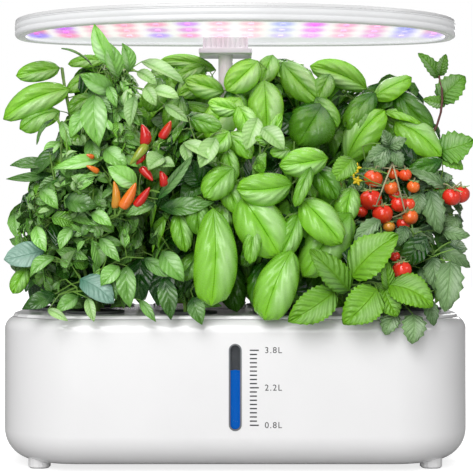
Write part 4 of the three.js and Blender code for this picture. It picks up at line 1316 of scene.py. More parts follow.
class Plant:
    """One pod's plant: its stems, its leaves and the random stream that places them."""

    def __init__(self, pod, shapes, settings):
        self.shapes = shapes
        self.form = bmesh.new()
        self.form.loops.layers.uv.new("leaf")
        self.form.verts.layers.float.new("tint")
        self.stems = bmesh.new()
        self.random = random.Random(settings.seed * 1000 + PODS.index(pod))
        self.thickness = settings.leaf_thickness / MM
        low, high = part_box("plant_" + pod)
        self.low, self.high = low / MM, high / MM
        self.base = Vector((*POD_PLACES[pod], STEMS_START))
        self.joints = []
        is_back = pod.startswith("back")
        self.spread = BACK_SPREAD if is_back else SPREAD
        self.inner_reach = BACK_INNER_REACH if is_back else INNER_REACH
        solid = bmesh.new()
        solid.from_mesh(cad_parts["plant_" + pod].data)
        self.surface = BVHTree.FromBMesh(solid)
        solid.free()

    def middle(self, share):
        """The middle of the plant at a share of its height."""
        lean = min(1, 2 * share)
        centre = (self.low + self.high) / 2
        return Vector((
            self.base.x + (centre.x - self.base.x) * lean,
            self.base.y + (centre.y - self.base.y) * lean,
            CANOPY_BOTTOM + (self.high.z - CANOPY_BOTTOM) * share,
        ))

    def skin(self, share, angle, rise=0.0):
        """The point of the plant's outside that its middle sees in a direction, and the way out."""
        aim = Vector((
            math.cos(angle) * math.cos(rise), math.sin(angle) * math.cos(rise), math.sin(rise)))
        middle = self.middle(share)
        place, out, _, _ = self.surface.ray_cast((middle + aim * RAY_START) * MM, -aim)
        return (place / MM, out) if place else (middle + aim * 12, aim)

    def seen_depth(self, column, row):
        """The depth at which the plant's outside shows at a point of the picture, if it does."""
        eye = Vector((VIEW_X, -VIEW_DISTANCE, VIEW_HEIGHT))
        aim = (seen_at(column, row, 0) - eye).normalized()
        place, _, _, _ = self.surface.ray_cast(eye * MM, aim)
        return place.y / MM if place else None

    def grow_stems(self, count, is_inside):
        """Stems that fan out from the pod and rise through the plant."""
        for stem in range(count):
            angle = FULL_TURN * (stem + 0.6 * self.random.random()) / count
            height = 0.6 + 0.25 * self.random.random()
            rim, _ = self.skin(height, angle)
            top = self.middle(height).lerp(rim, 0.5 + 0.25 * self.random.random())
            bend = self.middle(height * 0.5).lerp(self.skin(height * 0.5, angle)[0], 0.4)
            while not (is_inside(*picture_point(top)) and is_inside(*picture_point(bend))):
                top = top.lerp(self.middle(0.3), 0.1)
                bend = bend.lerp(self.middle(0.2), 0.1)
            start = self.base + Vector((2.5 * math.cos(angle), 2.5 * math.sin(angle), 0))
            self.stem_through([start, bend, top], STEM_RADIUS, 0.6)

    def stem_through(self, places, thick, thin, slot=STEM_SLOT, steps=8):
        """A stem through three places, as short tapered rods."""
        start, bend, end = places
        control = 2 * bend - (start + end) / 2
        last = start
        for step in range(1, steps + 1):
            share = step / steps
            point = (start * (1 - share) ** 2 + control * 2 * share * (1 - share)
                     + end * share ** 2)
            here = thick + (thin - thick) * share
            before = thick + (thin - thick) * (share - 1 / steps)
            rod_between(self.stems, last, point, before, here, material=slot)
            self.joints.append(point)
            last = point

    def nearest_joint(self, point):
        """The stem point that a leaf at this place grows from: near, and rather below it."""
        def cost(joint):
            away = joint - point
            return away.length + max(0, away.z) * 1.5
        return min(self.joints, key=cost)

    def attach(self, point, toward, radius=STALK_RADIUS, slot=STEM_SLOT):
        """A leaf stalk from the nearest stem to a leaf's root."""
        joint = self.nearest_joint(point)
        away = (point - joint).length
        if away < 1:
            return
        bend = (joint + point) / 2 - toward.normalized() * min(3, away * 0.1)
        bend.z += min(2, away * 0.06)
        rod_between(self.stems, joint, bend, radius * 1.3, radius, 5, slot)
        rod_between(self.stems, bend, point, radius, radius * 0.8, 5, slot)
        if away > 18:
            self.joints.append(bend.copy())

    def leaf(self, kind, root, tip, width, face, arch, tint, grid="plain", has_stalk=True):
        """Adds one leaf from its root to its tip, facing roughly the given way."""
        along = tip - root
        length = along.length
        along.normalize()
        face = (face - along * face.dot(along)).normalized()
        across = along.cross(face)
        ripple = self.random.uniform(*RIPPLES) * width
        phase = self.random.uniform(0, FULL_TURN)
        swing = self.random.uniform(*SWINGS) * length
        shape = self.shapes[kind, grid]
        places = []
        for side, share, lift, edge, is_top in shape.points:
            bow = 4 * share * (1 - share)
            rise = arch * length * bow + lift * width + (self.thickness if is_top else 0)
            rise += ripple * edge * math.sin(9 * share + phase + side * 2)
            places.extend(root + along * (share * length)
                          + across * (side * width / 2 + swing * bow) + face * rise)
        shape.mesh.vertices.foreach_set("co", places)
        shape.mesh.attributes["tint"].data.foreach_set("value", [tint] * len(shape.points))
        self.form.from_mesh(shape.mesh)
        if has_stalk:
            self.attach(root, along)

    def fill(self, kind, count, length, width, heights, droop, tints, is_clear):
        """Leaves laid over the plant's outside like shingles, in a few layers.

        Droop is how far a leaf may turn away from hanging straight down, in degrees.
        """
        begin = self.random.random()
        low, high = heights
        for number in range(count):
            turn = begin + number * GOLDEN
            share = low + (high - low) * (number + self.random.random()) / count
            rise = 1.35 * self.random.random() ** 2
            for retry in RETRIES:
                angle = FULL_TURN * (turn + retry)
                place, out = self.skin(share, angle, rise)
                size = self.random.uniform(*SIZES)
                inset = self.random.choice(FILL_INSETS)
                over = inset - self.spread
                down = Vector((0.4 * math.cos(angle), 0.4 * math.sin(angle), -1))
                down = (down - out * down.dot(out)).normalized()
                swing = math.radians(self.random.uniform(-droop, droop))
                way = Matrix.Rotation(swing, 3, out) @ down
                way = (way + out * self.random.uniform(*STAND_OFFS)).normalized() * length * size
                centre = place - out * (over + 0.12 * length)
                root, tip = centre - way * 0.5, centre + way * 0.5
                side = way.cross(out).normalized() * width * size / 2
                lowest, highest = sorted((root.z, tip.z))
                if lowest < DECK_TOP + DECK_CLEARANCE or highest > self.high.z:
                    continue
                if is_clear((root, centre - side * 0.7, centre + side * 0.7, tip)):
                    loose = Vector([self.random.uniform(*TURNS) for _ in range(3)])
                    face = out + Vector((0, 0, 0.45)) + loose
                    # Painted shade: the deeper a leaf lies in the plant, the darker its tint.
                    shade = self.random.uniform(*tints) * (1 - 0.6 * inset / FILL_INSETS[-1])
                    arch = self.random.uniform(*ARCHES)
                    self.leaf(kind, root, tip, width * size, face, arch, shade)
                    break

    def fill_inside(self, kind, count, length, width, is_clear):
        """Leaves well inside the plant, painted in the shade colour, which close the view through
        it.
        """
        for _ in range(count):
            angle = self.random.uniform(0, FULL_TURN)
            share, rise = self.random.uniform(0.02, 0.95), self.random.uniform(0, 0.9)
            place, out = self.skin(share, angle, rise)
            middle = self.middle((place.z - CANOPY_BOTTOM) / (self.high.z - CANOPY_BOTTOM))
            centre = middle.lerp(place, self.random.uniform(0.15, self.inner_reach))
            way = Vector([self.random.uniform(-1, 1) for _ in range(3)]).normalized()
            way = way * length / 2
            face = Vector((0.4 * out.x, -1, 0.3 + self.random.uniform(*TURNS)))
            side = way.cross(face).normalized() * width / 2
            places = (centre - way, centre + way, centre - side, centre, centre + side)
            lowest = min(place.z for place in places)
            if lowest > DECK_TOP + DECK_CLEARANCE and is_clear(places):
                # A tint of 0 paints them wholly in the shade colour: painted shade.
                self.leaf(kind, *places[:2], width, face, 0.1, 0.0, has_stalk=False)


# Each plant's leaves that show clearly from the front, in runs of one kind. A leaf has the points
# of the picture where its root and tip show, its width in points, its depth along Y, its roll in
# degrees and its tint, which paints it from shaded to lit.
SHOWN_LEAVES = {
    "front_1": (
        ("pepper", (92, 66, 61, 49, 9, -94, 55, 0.25), (113, 66, 94, 24, 19, -102, -25, 0.8),
         (118, 78, 106, 40, 20, -99, 25, 0.5), (129, 72, 122, 43, 15, -95, 15, 0.45),
         (114, 92, 80, 75, 20, -96, -15, 0.4), (108, 86, 117, 108, 11, -100, 20, 0.55)),
        ("sage", (135, 96, 130, 127, 15, -102, 20, 0.6)),
        ("pepper", (95, 94, 99, 147, 27, -101, 0, 0.65)),
        ("sage", (141, 62, 184, 84, 18, -72, -20, 0.55), (137, 72, 157, 85, 12, -78, 10, 0.75),
         (153, 91, 179, 98, 16, -84, -10, 0.9), (165, 105, 189, 122, 11, -88, 30, 0.7),
         (145, 88, 156, 106, 14, -92, 15, 0.85)),
        ("pepper", (150, 74, 176, 70, 14, -60, 0, 0.7), (86, 110, 70, 138, 18, -92, 10, 0.6),
         (118, 112, 140, 126, 13, -99, 0, 0.5)),
        ("sage", (164, 157, 148, 170, 20, -109, 5, 0.6), (160, 165, 175, 167, 14, -109, -10, 0.6)),
        ("pepper", (137, 186, 107, 167, 21, -106, -10, 0.75),
         (105, 149, 127, 167, 21, -101, 0, 0.55), (104, 158, 52, 169, 15, -98, 0, 0.8),
         (155, 204, 127, 216, 16, -108, 10, 0.3)),
        ("sage", (158, 199, 193, 155, 11, -104, 30, 0.25)),
        ("pepper", (65, 200, 98, 206, 22, -104, 5, 0.2), (40, 190, 58, 209, 15, -100, 0, 0.5),
         (92, 212, 112, 226, 14, -106, 0, 0.7), (36, 226, 46, 252, 15, -102, 0, 0.75),
         (72, 228, 60, 250, 13, -106, 0, 0.6), (100, 238, 120, 262, 13, -110, 10, 0.5)),
        ("silver", (44, 251, 4, 260, 28, -92, 0, 0.4), (80, 279, 114, 303, 26, -112, -5, 0.3)),
        ("pepper", (119, 266, 101, 286, 19, -112, 5, 0.55),
         (127, 266, 130, 308, 20, -113, 0, 0.35), (108, 270, 116, 300, 15, -108, 0, 0.2),
         (144, 258, 179, 276, 15, -108, 20, 0.3), (55, 257, 30, 277, 15, -102, 10, 0.5)),
        ("basil", (27, 268, 13, 294, 18, -92, 0, 0.6)),
        ("pepper", (55, 294, 22, 309, 18, -106, 0, 0.08), (78, 296, 56, 312, 16, -112, 0, 0.35)),
        ("sage", (48, 310, 68, 321, 9, -117, 20, 0.9), (88, 298, 94, 322, 11, -116, 0, 0.8)),
        ("pepper", (140, 300, 156, 322, 10, -115, 20, 0.45),
         (142, 256, 140, 304, 28, -60, 0, 0.0), (168, 262, 158, 306, 28, -60, 0, 0.0),
         (112, 268, 104, 306, 26, -60, 0, 0.0)),
    ),
    "front_2": (
        ("basil", (190, 118, 222, 128, 22, -32, 0, 0.45)),
        ("pepper", (160, 208, 214, 203, 19, -100, 5, 0.12)),
        ("sage", (183, 143, 216, 162, 16, -100, -10, 0.85),
         (184, 143, 190, 165, 12, -98, 10, 0.7)),
        ("pepper", (162, 251, 184, 282, 22, -109, 0, 0.4),
         (164, 277, 171, 320, 20, -112, 5, 0.12), (193, 297, 202, 325, 18, -114, 0, 0.18)),
        ("spoon", (213, 208, 211, 306, 44, -112, 0, 0.85)),
        ("basil", (229, 131, 211, 151, 22, -52, -10, 1.0),
         (226, 136, 252, 159, 18, -70, -10, 0.75), (226, 148, 236, 180, 18, -80, 0, 0.7),
         (234, 168, 204, 198, 32, -98, 0, 0.65), (222, 176, 240, 214, 24, -92, 0, 0.7),
         (226, 128, 232, 172, 28, -16, 0, 0.1), (230, 258, 237, 312, 30, -40, 0, 0.05)),
        ("sage", (216, 138, 200, 168, 20, -60, 0, 0.8)),
        ("basil", (226, 168, 206, 196, 24, -96, -10, 0.85),
         (196, 196, 200, 236, 24, -80, 0, 0.35), (178, 212, 186, 252, 22, -86, 0, 0.6)),
    ),
    "front_3": (
        ("basil", (238, 110, 208, 102, 20, -40, -10, 1.0), (238, 106, 250, 135, 24, -42, 5, 0.9),
         (231, 132, 252, 156, 22, -50, 10, 0.95), (271, 143, 281, 113, 12, -44, 0, 0.95),
         (269, 143, 255, 137, 9, -46, 0, 0.9), (290, 150, 270, 153, 15, -60, 0, 0.8),
         (328, 158, 279, 166, 30, -62, -25, 0.9), (292, 184, 236, 189, 34, -90, -20, 0.8),
         (241, 196, 280, 257, 50, -97, 5, 0.9), (302, 199, 342, 244, 38, -96, 0, 0.9),
         (351, 213, 303, 277, 44, -84, 0, 0.7)),
        ("spoon", (292, 250, 264, 320, 42, -112, 5, 0.85)),
        ("basil", (256, 223, 250, 264, 19, -106, 10, 0.65), (299, 213, 276, 263, 24, -92, 0, 0.6),
         (352, 187, 346, 223, 26, -74, 0, 0.75), (312, 167, 337, 200, 27, -78, 10, 0.15)),
        ("balm", (353, 159, 333, 181, 23, -78, 0, 0.75)),
        ("basil", (311, 167, 295, 207, 16, -100, 20, 0.6), (262, 262, 258, 308, 26, -40, 0, 0.05),
         (316, 256, 314, 306, 30, -40, 0, 0.1), (328, 170, 330, 212, 30, -30, 0, 0.2)),
        ("sage", (258, 118, 246, 150, 20, -46, 0, 0.9), (262, 128, 284, 150, 20, -46, 0, 0.8)),
    ),
    "front_4": (
        ("balm", (352, 277, 399, 235, 42, -113, -10, 0.85),
         (349, 291, 310, 249, 30, -115, 5, 0.5), (389, 285, 433, 307, 36, -117, -5, 0.8),
         (377, 289, 343, 324, 38, -118, 0, 0.8), (335, 291, 288, 322, 34, -116, -5, 0.75),
         (388, 291, 384, 257, 15, -115, 20, 0.6), (384, 289, 397, 317, 26, -116, 0, 0.65),
         (372, 290, 402, 294, 18, -110, 0, 0.5)),
        ("tomato", (380, 220, 354, 242, 16, -84, 0, 0.6), (433, 257, 438, 292, 21, -96, 0, 0.5),
         (451, 261, 445, 312, 28, -101, 0, 0.65), (396, 314, 385, 335, 19, -112, 0, 0.75),
         (413, 314, 412, 344, 24, -113, 0, 0.75), (428, 300, 434, 326, 15, -110, 0, 0.35),
         (405, 226, 398, 246, 14, -90, 0, 0.25), (412, 240, 430, 252, 15, -92, 0, 0.2),
         (420, 268, 432, 284, 14, -95, 0, 0.35)),
    ),
    "end_1": (
        ("pepper", (53, 166, 10, 166, 15, -22, 10, 0.12), (53, 174, 6, 179, 10, -26, -10, 0.1),
         (60, 148, 33, 177, 20, -24, 20, 0.08), (54, 119, 37, 145, 9, -18, 40, 0.25),
         (62, 121, 72, 148, 11, -20, 20, 0.6), (60, 142, 44, 160, 13, -20, 0, 0.7)),
        ("sage", (60, 132, 80, 148, 12, -18, 0, 0.6)),
    ),
    "end_2": (
        ("tomato", (389, 148, 366, 162, 17, -26, 0, 0.5), (389, 147, 407, 139, 15, -26, 0, 0.55),
         (388, 147, 383, 130, 13, -26, 0, 0.5), (391, 150, 402, 168, 15, -27, 0, 0.45),
         (388, 150, 376, 171, 17, -28, 0, 0.35), (446, 188, 410, 171, 14, -24, 0, 0.55),
         (430, 190, 440, 234, 23, -26, 0, 0.5), (420, 192, 417, 215, 18, -28, 0, 0.45),
         (441, 231, 470, 236, 16, -24, 0, 0.55), (440, 251, 470, 268, 17, -26, 0, 0.4)),
        ("basil", (442, 160, 408, 171, 20, -20, 0, 0.1)),
    ),
    "back_1": (
        ("basil", (60, 68, 16, 76, 21, 40, -20, 0.85), (70, 89, 3, 119, 30, 32, -15, 0.95),
         (60, 111, 20, 130, 29, 30, 10, 0.6), (96, 96, 68, 112, 20, 26, 0, 0.3),
         (105, 60, 68, 64, 15, 45, 0, 0.85), (96, 74, 66, 92, 20, 48, 10, 0.9)),
    ),
    "back_2": (
        ("basil", (216, 70, 159, 61, 15, 30, -25, 0.75), (224, 92, 185, 80, 25, 6, -10, 0.75),
         (178, 104, 222, 113, 14, 27, -20, 0.85), (241, 98, 207, 141, 37, -8, 5, 0.95),
         (214, 78, 178, 96, 20, 20, -10, 0.8), (206, 66, 176, 80, 17, 24, 0, 0.55),
         (160, 78, 148, 112, 26, 14, 0, 0.3), (182, 96, 168, 130, 26, 12, 0, 0.35),
         (232, 88, 234, 128, 26, 6, 0, 0.25)),
    ),
    "back_3": (
        ("basil", (258, 61, 226, 91, 31, 6, -10, 0.95), (273, 55, 261, 83, 24, 22, 10, 0.75),
         (264, 80, 266, 135, 36, 6, 0, 0.85), (282, 62, 320, 102, 31, 20, 10, 0.65),
         (323, 104, 298, 145, 49, 8, 0, 0.18), (316, 97, 338, 127, 25, 12, 15, 0.4),
         (303, 66, 290, 98, 22, 26, 0, 0.8), (330, 74, 318, 100, 22, 18, 0, 0.5)),
    ),
    "back_4": (
        ("basil", (367, 89, 310, 66, 27, 42, -35, 0.9), (373, 98, 412, 78, 29, 36, -20, 0.9),
         (375, 93, 344, 127, 28, 33, 15, 0.25), (396, 90, 433, 129, 28, 34, 10, 0.2),
         (346, 163, 385, 110, 38, 29, -10, 0.85), (384, 112, 422, 124, 18, 30, -25, 0.95),
         (395, 122, 441, 157, 37, 29, -5, 0.9)),
        ("mint", (438, 78, 418, 53, 14, 32, 0, 0.6), (440, 76, 446, 54, 12, 32, 10, 0.75),
         (439, 101, 465, 76, 28, 31, 0, 0.65), (446, 103, 423, 99, 13, 31, -20, 0.8),
         (438, 152, 474, 141, 34, 30, 0, 0.55), (440, 158, 463, 170, 17, 29, 0, 0.7)),
        ("basil", (362, 100, 352, 134, 26, 30, 0, 0.35)),
    ),
}

# The outer edge of the filling leaves as it shows in the picture, from the deck's left end over
# the top to its right end, in columns and rows.
OUTLINE = (
    (28, 330), (24, 304), (12, 296), (9, 266), (8, 250), (10, 236), (14, 214), (22, 206), (20, 194),
    (32, 184), (36, 160), (50, 148), (66, 126), (74, 108), (74, 80), (84, 64), (106, 60), (140, 64),
    (160, 64), (212, 64), (228, 58), (256, 56), (300, 64), (340, 64), (352, 92), (372, 90),
    (384, 76), (410, 80), (424, 96), (432, 120), (440, 136), (462, 142), (466, 160), (448, 172),
    (458, 192), (462, 210), (464, 236), (462, 270), (460, 294), (454, 312), (448, 330),
)

# Filling leaves: plant, kind, how many, length, width, lowest and highest share of the plant's
# height, droop in degrees and tint from and to, which paints them from shaded to lit.
FILLING_LEAVES = (
    ("front_1", "pepper", 620, 14, 7.5, 0, 0.95, 180, 0.4, 1),
    ("front_1", "pepper", 260, 26, 12, 0, 0.9, 120, 0.15, 0.85),
    ("front_1", "mint", 200, 17, 11, 0.05, 0.85, 150, 0.5, 1),
    ("front_1", "sage", 90, 20, 9, 0.1, 1, 170, 0.5, 1),
    ("front_1", "sage", 420, 9, 4.5, 0.3, 0.95, 175, 0.4, 1),
    ("front_2", "basil", 230, 30, 21, 0.15, 1, 80, 0.35, 1),
    ("front_2", "pepper", 150, 26, 12, 0, 0.5, 90, 0, 0.55),
    ("front_3", "basil", 260, 34, 24, 0, 1, 80, 0.25, 1),
    ("front_4", "balm", 80, 28, 20, 0, 1, 110, 0.4, 0.9),
    ("front_4", "tomato", 220, 19, 12, 0, 1, 150, 0.1, 0.8),
    ("end_1", "pepper", 260, 24, 11, 0, 1, 120, 0, 0.6),
    ("end_1", "basil", 50, 34, 23, 0.4, 1, 90, 0.4, 0.95),
    ("end_2", "tomato", 420, 19, 13, 0, 1, 140, 0.1, 0.9),
    ("back_1", "basil", 280, 36, 25, 0, 1, 80, 0.3, 0.95),
    ("back_2", "basil", 260, 36, 25, 0, 1, 80, 0.25, 0.95),
    ("back_3", "basil", 280, 36, 25, 0, 1, 80, 0.15, 0.9),
    ("back_4", "basil", 280, 36, 25, 0, 1, 80, 0.15, 0.9),
    ("back_4", "mint", 50, 24, 16, 0.5, 1, 120, 0.4, 0.8),
)
# Every plant's inner leaves, painted in their kind's shade colour: kind, how many, length and
# width.
INNER_LEAVES = ("pepper", 220, 30, 20)

STEM_COUNTS = {
    "front_1": 7, "front_2": 4, "front_3": 5, "front_4": 5, "end_1": 5, "end_2": 6,
    "back_1": 6, "back_2": 5, "back_3": 5, "back_4": 6,
}

# Each plant's cherry tomatoes: column and row of the picture, radius in points, depth, ripeness.
TOMATOES = {
    "end_2": (
        (373.3, 178.5, 8.2, -30, 0.75), (370.8, 199.4, 9.5, -32, 0.9),
        (382.5, 213.9, 8.9, -34, 0.9), (393.3, 173.4, 5.2, -24, 0.7),
        (405.3, 174.7, 5.6, -26, 0.75), (391.4, 188, 6.2, -31, 0.6),
        (394.6, 194.5, 5.2, -26, 0.85), (413.5, 186.7, 5.6, -28, 0.55),
        (399, 204, 7.2, -32, 0.9), (408.5, 204.4, 6.4, -28, 0.85),
        (410.4, 217, 6.8, -33, 0.6), (403.5, 223.5, 6, -27, 1),
        (388.9, 226.6, 5.3, -33, 0.22), (361.6, 211.4, 5.4, -28, 0.85),
        (451.5, 196.8, 8, -20, 1), (460.4, 194.3, 8, -12, 1),
        (437, 185.4, 3.4, -22, 0.7),
    ),
    "front_4": (
        (394.8, 256.3, 4.6, -100, 1), (402, 269.6, 8.3, -106, 1),
    ),
}

# Stems that show on their own: plant, the picture's column and row and the depth of three places,
# the radius at both ends and the material's slot. The first place stands for the joint nearest it.
LONE_STEMS = (
    ("back_4", ((436, 175, 30), (437, 125, 31), (439, 76, 32)), 1.4, 0.9, PURPLE_SLOT),
    ("back_1", ((76, 140, 42), (69, 108, 40), (62, 68, 41)), 2.2, 1.4, STEM_SLOT),
    ("end_1", ((60, 190, -15), (62, 152, -15), (58, 116, -14)), 1.3, 0.8, STEM_SLOT),
)

# The stalks that carry the tomatoes, by three places as above.
TRUSSES = (
    ((388, 160, -24), (386, 180, -40), (376, 206, -42)),
    ((388, 160, -24), (397, 180, -40), (405, 212, -42)),
    ((436, 190, -16), (444, 184, -24), (452, 188, -26)),
)

# A chili's radius and place along it, in widths and lengths. Then the chilies: the points where the
# base and the tip show, the width in points, depth and ripeness.
CHILI_PROFILE = (
    (0.0, 0.02), (0.30, 0.0), (0.42, 0.04), (0.5, 0.16), (0.5, 0.34), (0.42, 0.58), (0.27, 0.80),
    (0.12, 0.94), (0.0, 1.0),
)
CHILIES = (
    (145, 145, 141.7, 124, 12, -110, 1),
    (161, 138, 171, 120.5, 9.5, -108, 0.85),
    (146.5, 144.5, 129.5, 165, 9, -112, 0.05),
    (143.9, 154, 136, 164.5, 7.5, -108, 1),
    (141, 168, 153, 181, 9, -106, 1),
    (164, 186, 160, 170.5, 9.5, -108, 0.95),
    (115, 208, 113.8, 180.5, 9, -111, 0.34),
    (122, 208, 136, 182.5, 11.5, -113, 0.55),
    (135.5, 206, 149.8, 187, 9.5, -111, 1),
    (98.5, 172, 86, 165.5, 6, -108, 0.5),
    (93.5, 157.5, 86, 154.5, 5, -106, 0.6),
)


# The yellow flowers' middles in the picture, and their depth.
FLOWERS = ((356, 168), (357, 181), (352, 173))
FLOWER_DEPTH = -33
PETALS = 5
SEPALS = 5

FRUIT_GROWTH = 1.18
# How wide a strip of the picture each thing keeps open, in its own widths.
LEAF_STRIP = 0.36
CHILI_STRIP = 0.6
TOMATO_STRIP = 1.9
# How far behind the front of a strip a leaf may come, and how far from its start one is looked for.
STRIP_DEPTH = 6
STRIP_REACH = (90, 120)


class Clearing:
    """Where the picture leaves no room for a filling leaf: outside its outline, or before a leaf or
    fruit that shows."""

    def __init__(self):
        self.edges = list(zip(OUTLINE, OUTLINE[1:] + OUTLINE[:1]))
        self.shown = []

    def keep(self, start, end, half, depth):
        """Keeps a strip of the picture open in front of a depth."""
        self.shown.append((Vector(start), Vector(end), half, depth))

    def is_inside(self, column, row):
        crossings = 0
        for (x0, y0), (x1, y1) in self.edges:
            if (y0 > row) != (y1 > row) and column < x0 + (x1 - x0) * (row - y0) / (y1 - y0):
                crossings += 1
        return crossings % 2 == 1

    def is_clear(self, places):
        """Whether a leaf with these places may stay."""
        for place in places:
            column, row = picture_point(place)
            if not self.is_inside(column, row):
                return False
            spot = Vector((column, row))
            for start, end, half, depth in self.shown:
                away = start - spot
                if (place.y > depth + STRIP_DEPTH or abs(away.x) > STRIP_REACH[0]
                        or abs(away.y) > STRIP_REACH[1]):
                    continue
                way = end - start
                share = min(1, max(0, (spot - start).dot(way) / way.length_squared))
                if (start.lerp(end, share) - spot).length < half:
                    return False
        return True


class GARDEN_OT_plants(bpy.types.Operator):
    """Grow the leaves, stems, tomatoes, chilies and flowers of every pod"""

    bl_idname = "garden.plants"
    bl_label = "Grow Plants"

    def execute(self, context):
        settings = context.scene.garden_foliage
        shapes = {(name, grid): LeafShape(name, grid)
                  for name in LEAF_KINDS for grid in ("fine", "plain")}
        self.clearing = Clearing()
        plants = {}
        for pod in PODS:
            plants[pod] = Plant(pod, shapes, settings)
            plants[pod].grow_stems(STEM_COUNTS[pod], self.clearing.is_inside)
        for pod, *stem in LONE_STEMS:
            self.seen_stem(plants[pod], *stem)
        for pod, runs in SHOWN_LEAVES.items():
            for kind, *leaves in runs:
                for leaf in leaves:
                    self.shown_leaf(plants[pod], kind, *leaf)
        self.tomatoes(plants)
        self.chilies(plants["front_1"])
        self.flowers(plants["end_2"])
        for pod, kind, count, length, width, low, high, droop, *tints in FILLING_LEAVES:
            number = round(count * settings.density)
            plants[pod].fill(kind, number, length, width, (low, high), droop, tints,
                             self.clearing.is_clear)
        for plant in plants.values():
            plant.fill_inside(*INNER_LEAVES, self.clearing.is_clear)
        materials = [leaf_finish(**LEAF_FINISHES[kind]) for kind in LEAF_SLOTS[:-1]]
        materials += [materials[LEAF_SLOTS.index("sage")],
                      stem_finish("Green stem", (0.20, 0.40, 0.06)),
                      stem_finish("Purple stem", (0.16, 0.06, 0.05)),
                      stem_finish("Pale truss", (0.52, 0.50, 0.28))]
        for pod, plant in plants.items():
            form = absorbed(plant.form, plant.stems)
            finish_piece(form, "foliage_" + pod, pod_body(pod), materials, ["plant_" + pod],
                         60)
        for shape in shapes.values():
            bpy.data.meshes.remove(shape.mesh)
        return {"FINISHED"}

    def shown_leaf(self, plant, kind, root_x, root_y, tip_x, tip_y, width, depth, roll, tint):
        """One leaf of the table, brought forward to the plant's outside where it lies deeper."""
        outside = plant.seen_depth((root_x + tip_x) / 2, (root_y + tip_y) / 2)
        if outside is not None:
            depth = min(depth, outside + DEEPEST_SHOWN)
        root = seen_at(root_x, root_y, depth + 3)
        tip = seen_at(tip_x, tip_y, depth - 3)
        turn = Matrix.Rotation(math.radians(roll), 3, tip - root)
        face = turn @ Vector((0, -1, 0.45))
        plant.leaf(kind, root, tip, seen_size(width, depth), face, 0.10, tint, "fine")
        self.clearing.keep((root_x, root_y), (tip_x, tip_y), width * LEAF_STRIP, depth)

    def seen_stem(self, plant, places, thick, thin, slot):
        """A stem from the joint nearest to the first place through the other two."""
        start, bend, end = (seen_at(*place) for place in places)
        plant.stem_through([plant.nearest_joint(start), bend, end], thick, thin, slot)

    def tomatoes(self, plants):
        """The tomatoes and the stalks that carry them."""
        for places in TRUSSES:
            self.seen_stem(plants["end_2"], places, 0.9, 0.6, TRUSS_SLOT)
        for pod, tomatoes in TOMATOES.items():
            form = bmesh.new()
            form.verts.layers.float.new("tint")
            for tomato in tomatoes:
                self.tomato(plants[pod], form, *tomato)
            finish_piece(form, "tomatoes_" + pod, pod_body(pod), [tomato_skin()], sharp=180)

    def tomato(self, plant, form, column, row, radius, depth, ripeness):
        """One cherry tomato, dimpled on top, with a green star of sepals and its stalk."""
        layer = form.verts.layers.float["tint"]
        centre = seen_at(column, row, depth)
        size = seen_size(FRUIT_GROWTH * radius, depth)
        lean = Vector((plant.random.uniform(-0.35, 0.35), -0.25, 1)).normalized()
        turn = lean.to_track_quat("Z", "Y").to_matrix()
        made = bmesh.ops.create_icosphere(form, subdivisions=3, radius=1)
        for vert in made["verts"]:
            angle = math.atan2(vert.co.y, vert.co.x)
            flat = vert.co.xy.length
            vert.co.z *= 0.94 - 0.10 * max(0, 1 - 3 * flat) * (1 if vert.co.z > 0 else 0)
            swell = 1 + 0.02 * math.cos(5 * angle) * flat
            vert.co = centre + turn @ (vert.co * swell * size)
            vert[layer] = ripeness
        self.clearing.keep((column, row), (column + 1, row), radius * TOMATO_STRIP, depth)
        crown = centre + lean * size * 0.86
        for step in range(SEPALS):
            angle = step * FULL_TURN / SEPALS
            way = turn @ Vector((math.cos(angle), math.sin(angle), 0))
            tip = crown + way * size * 0.95 + lean * size * 0.05
            plant.leaf("sepal", crown, tip, size * 0.32, lean, -0.12, 0.75, has_stalk=False)
        knee = crown + lean * size * 0.5
        rod_between(plant.stems, crown, knee, 0.7, 0.55, 5, TRUSS_SLOT)
        plant.attach(knee, lean, 0.55, TRUSS_SLOT)

    def chilies(self, plant):
        """Upright and hanging chilies with short caps and stalks."""
        form = bmesh.new()
        form.verts.layers.float.new("tint")
        for base_x, base_y, tip_x, tip_y, width, depth, ripeness in CHILIES:
            base = seen_at(base_x, base_y, depth + 2)
            tip = seen_at(tip_x, tip_y, depth - 2)
            size = seen_size(width, depth)
            along = tip - base
            turn = along.to_track_quat("Z", "Y").to_matrix()
            side = turn @ Vector((1, 0, 0))
            one = turned(CHILI_PROFILE, steps=18)
            tint = one.verts.layers.float.new("tint")
            for vert in one.verts:
                share = vert.co.z
                bow = 4 * share * (1 - share) * size * 0.22
                spot = turn @ Vector((vert.co.x * size, vert.co.y * size, share * along.length))
                vert.co = base + spot + side * bow
                vert[tint] = ripeness
            absorbed(form, one)
            self.clearing.keep((base_x, base_y), (tip_x, tip_y), width * CHILI_STRIP, depth)
            back = -along.normalized()
            cap = (base - back * 1.2, base + back * 1.6)
            rod_between(plant.stems, *cap, size * 0.33, size * 0.2, 10, STEM_SLOT)
            end = base + back * 7
            rod_between(plant.stems, base + back * 1.4, end, 1.0, 0.8, material=STEM_SLOT)
            plant.attach(end, back, 0.8)
        finish_piece(form, "chilies_front_1", "deck", [chili_skin()], sharp=180)

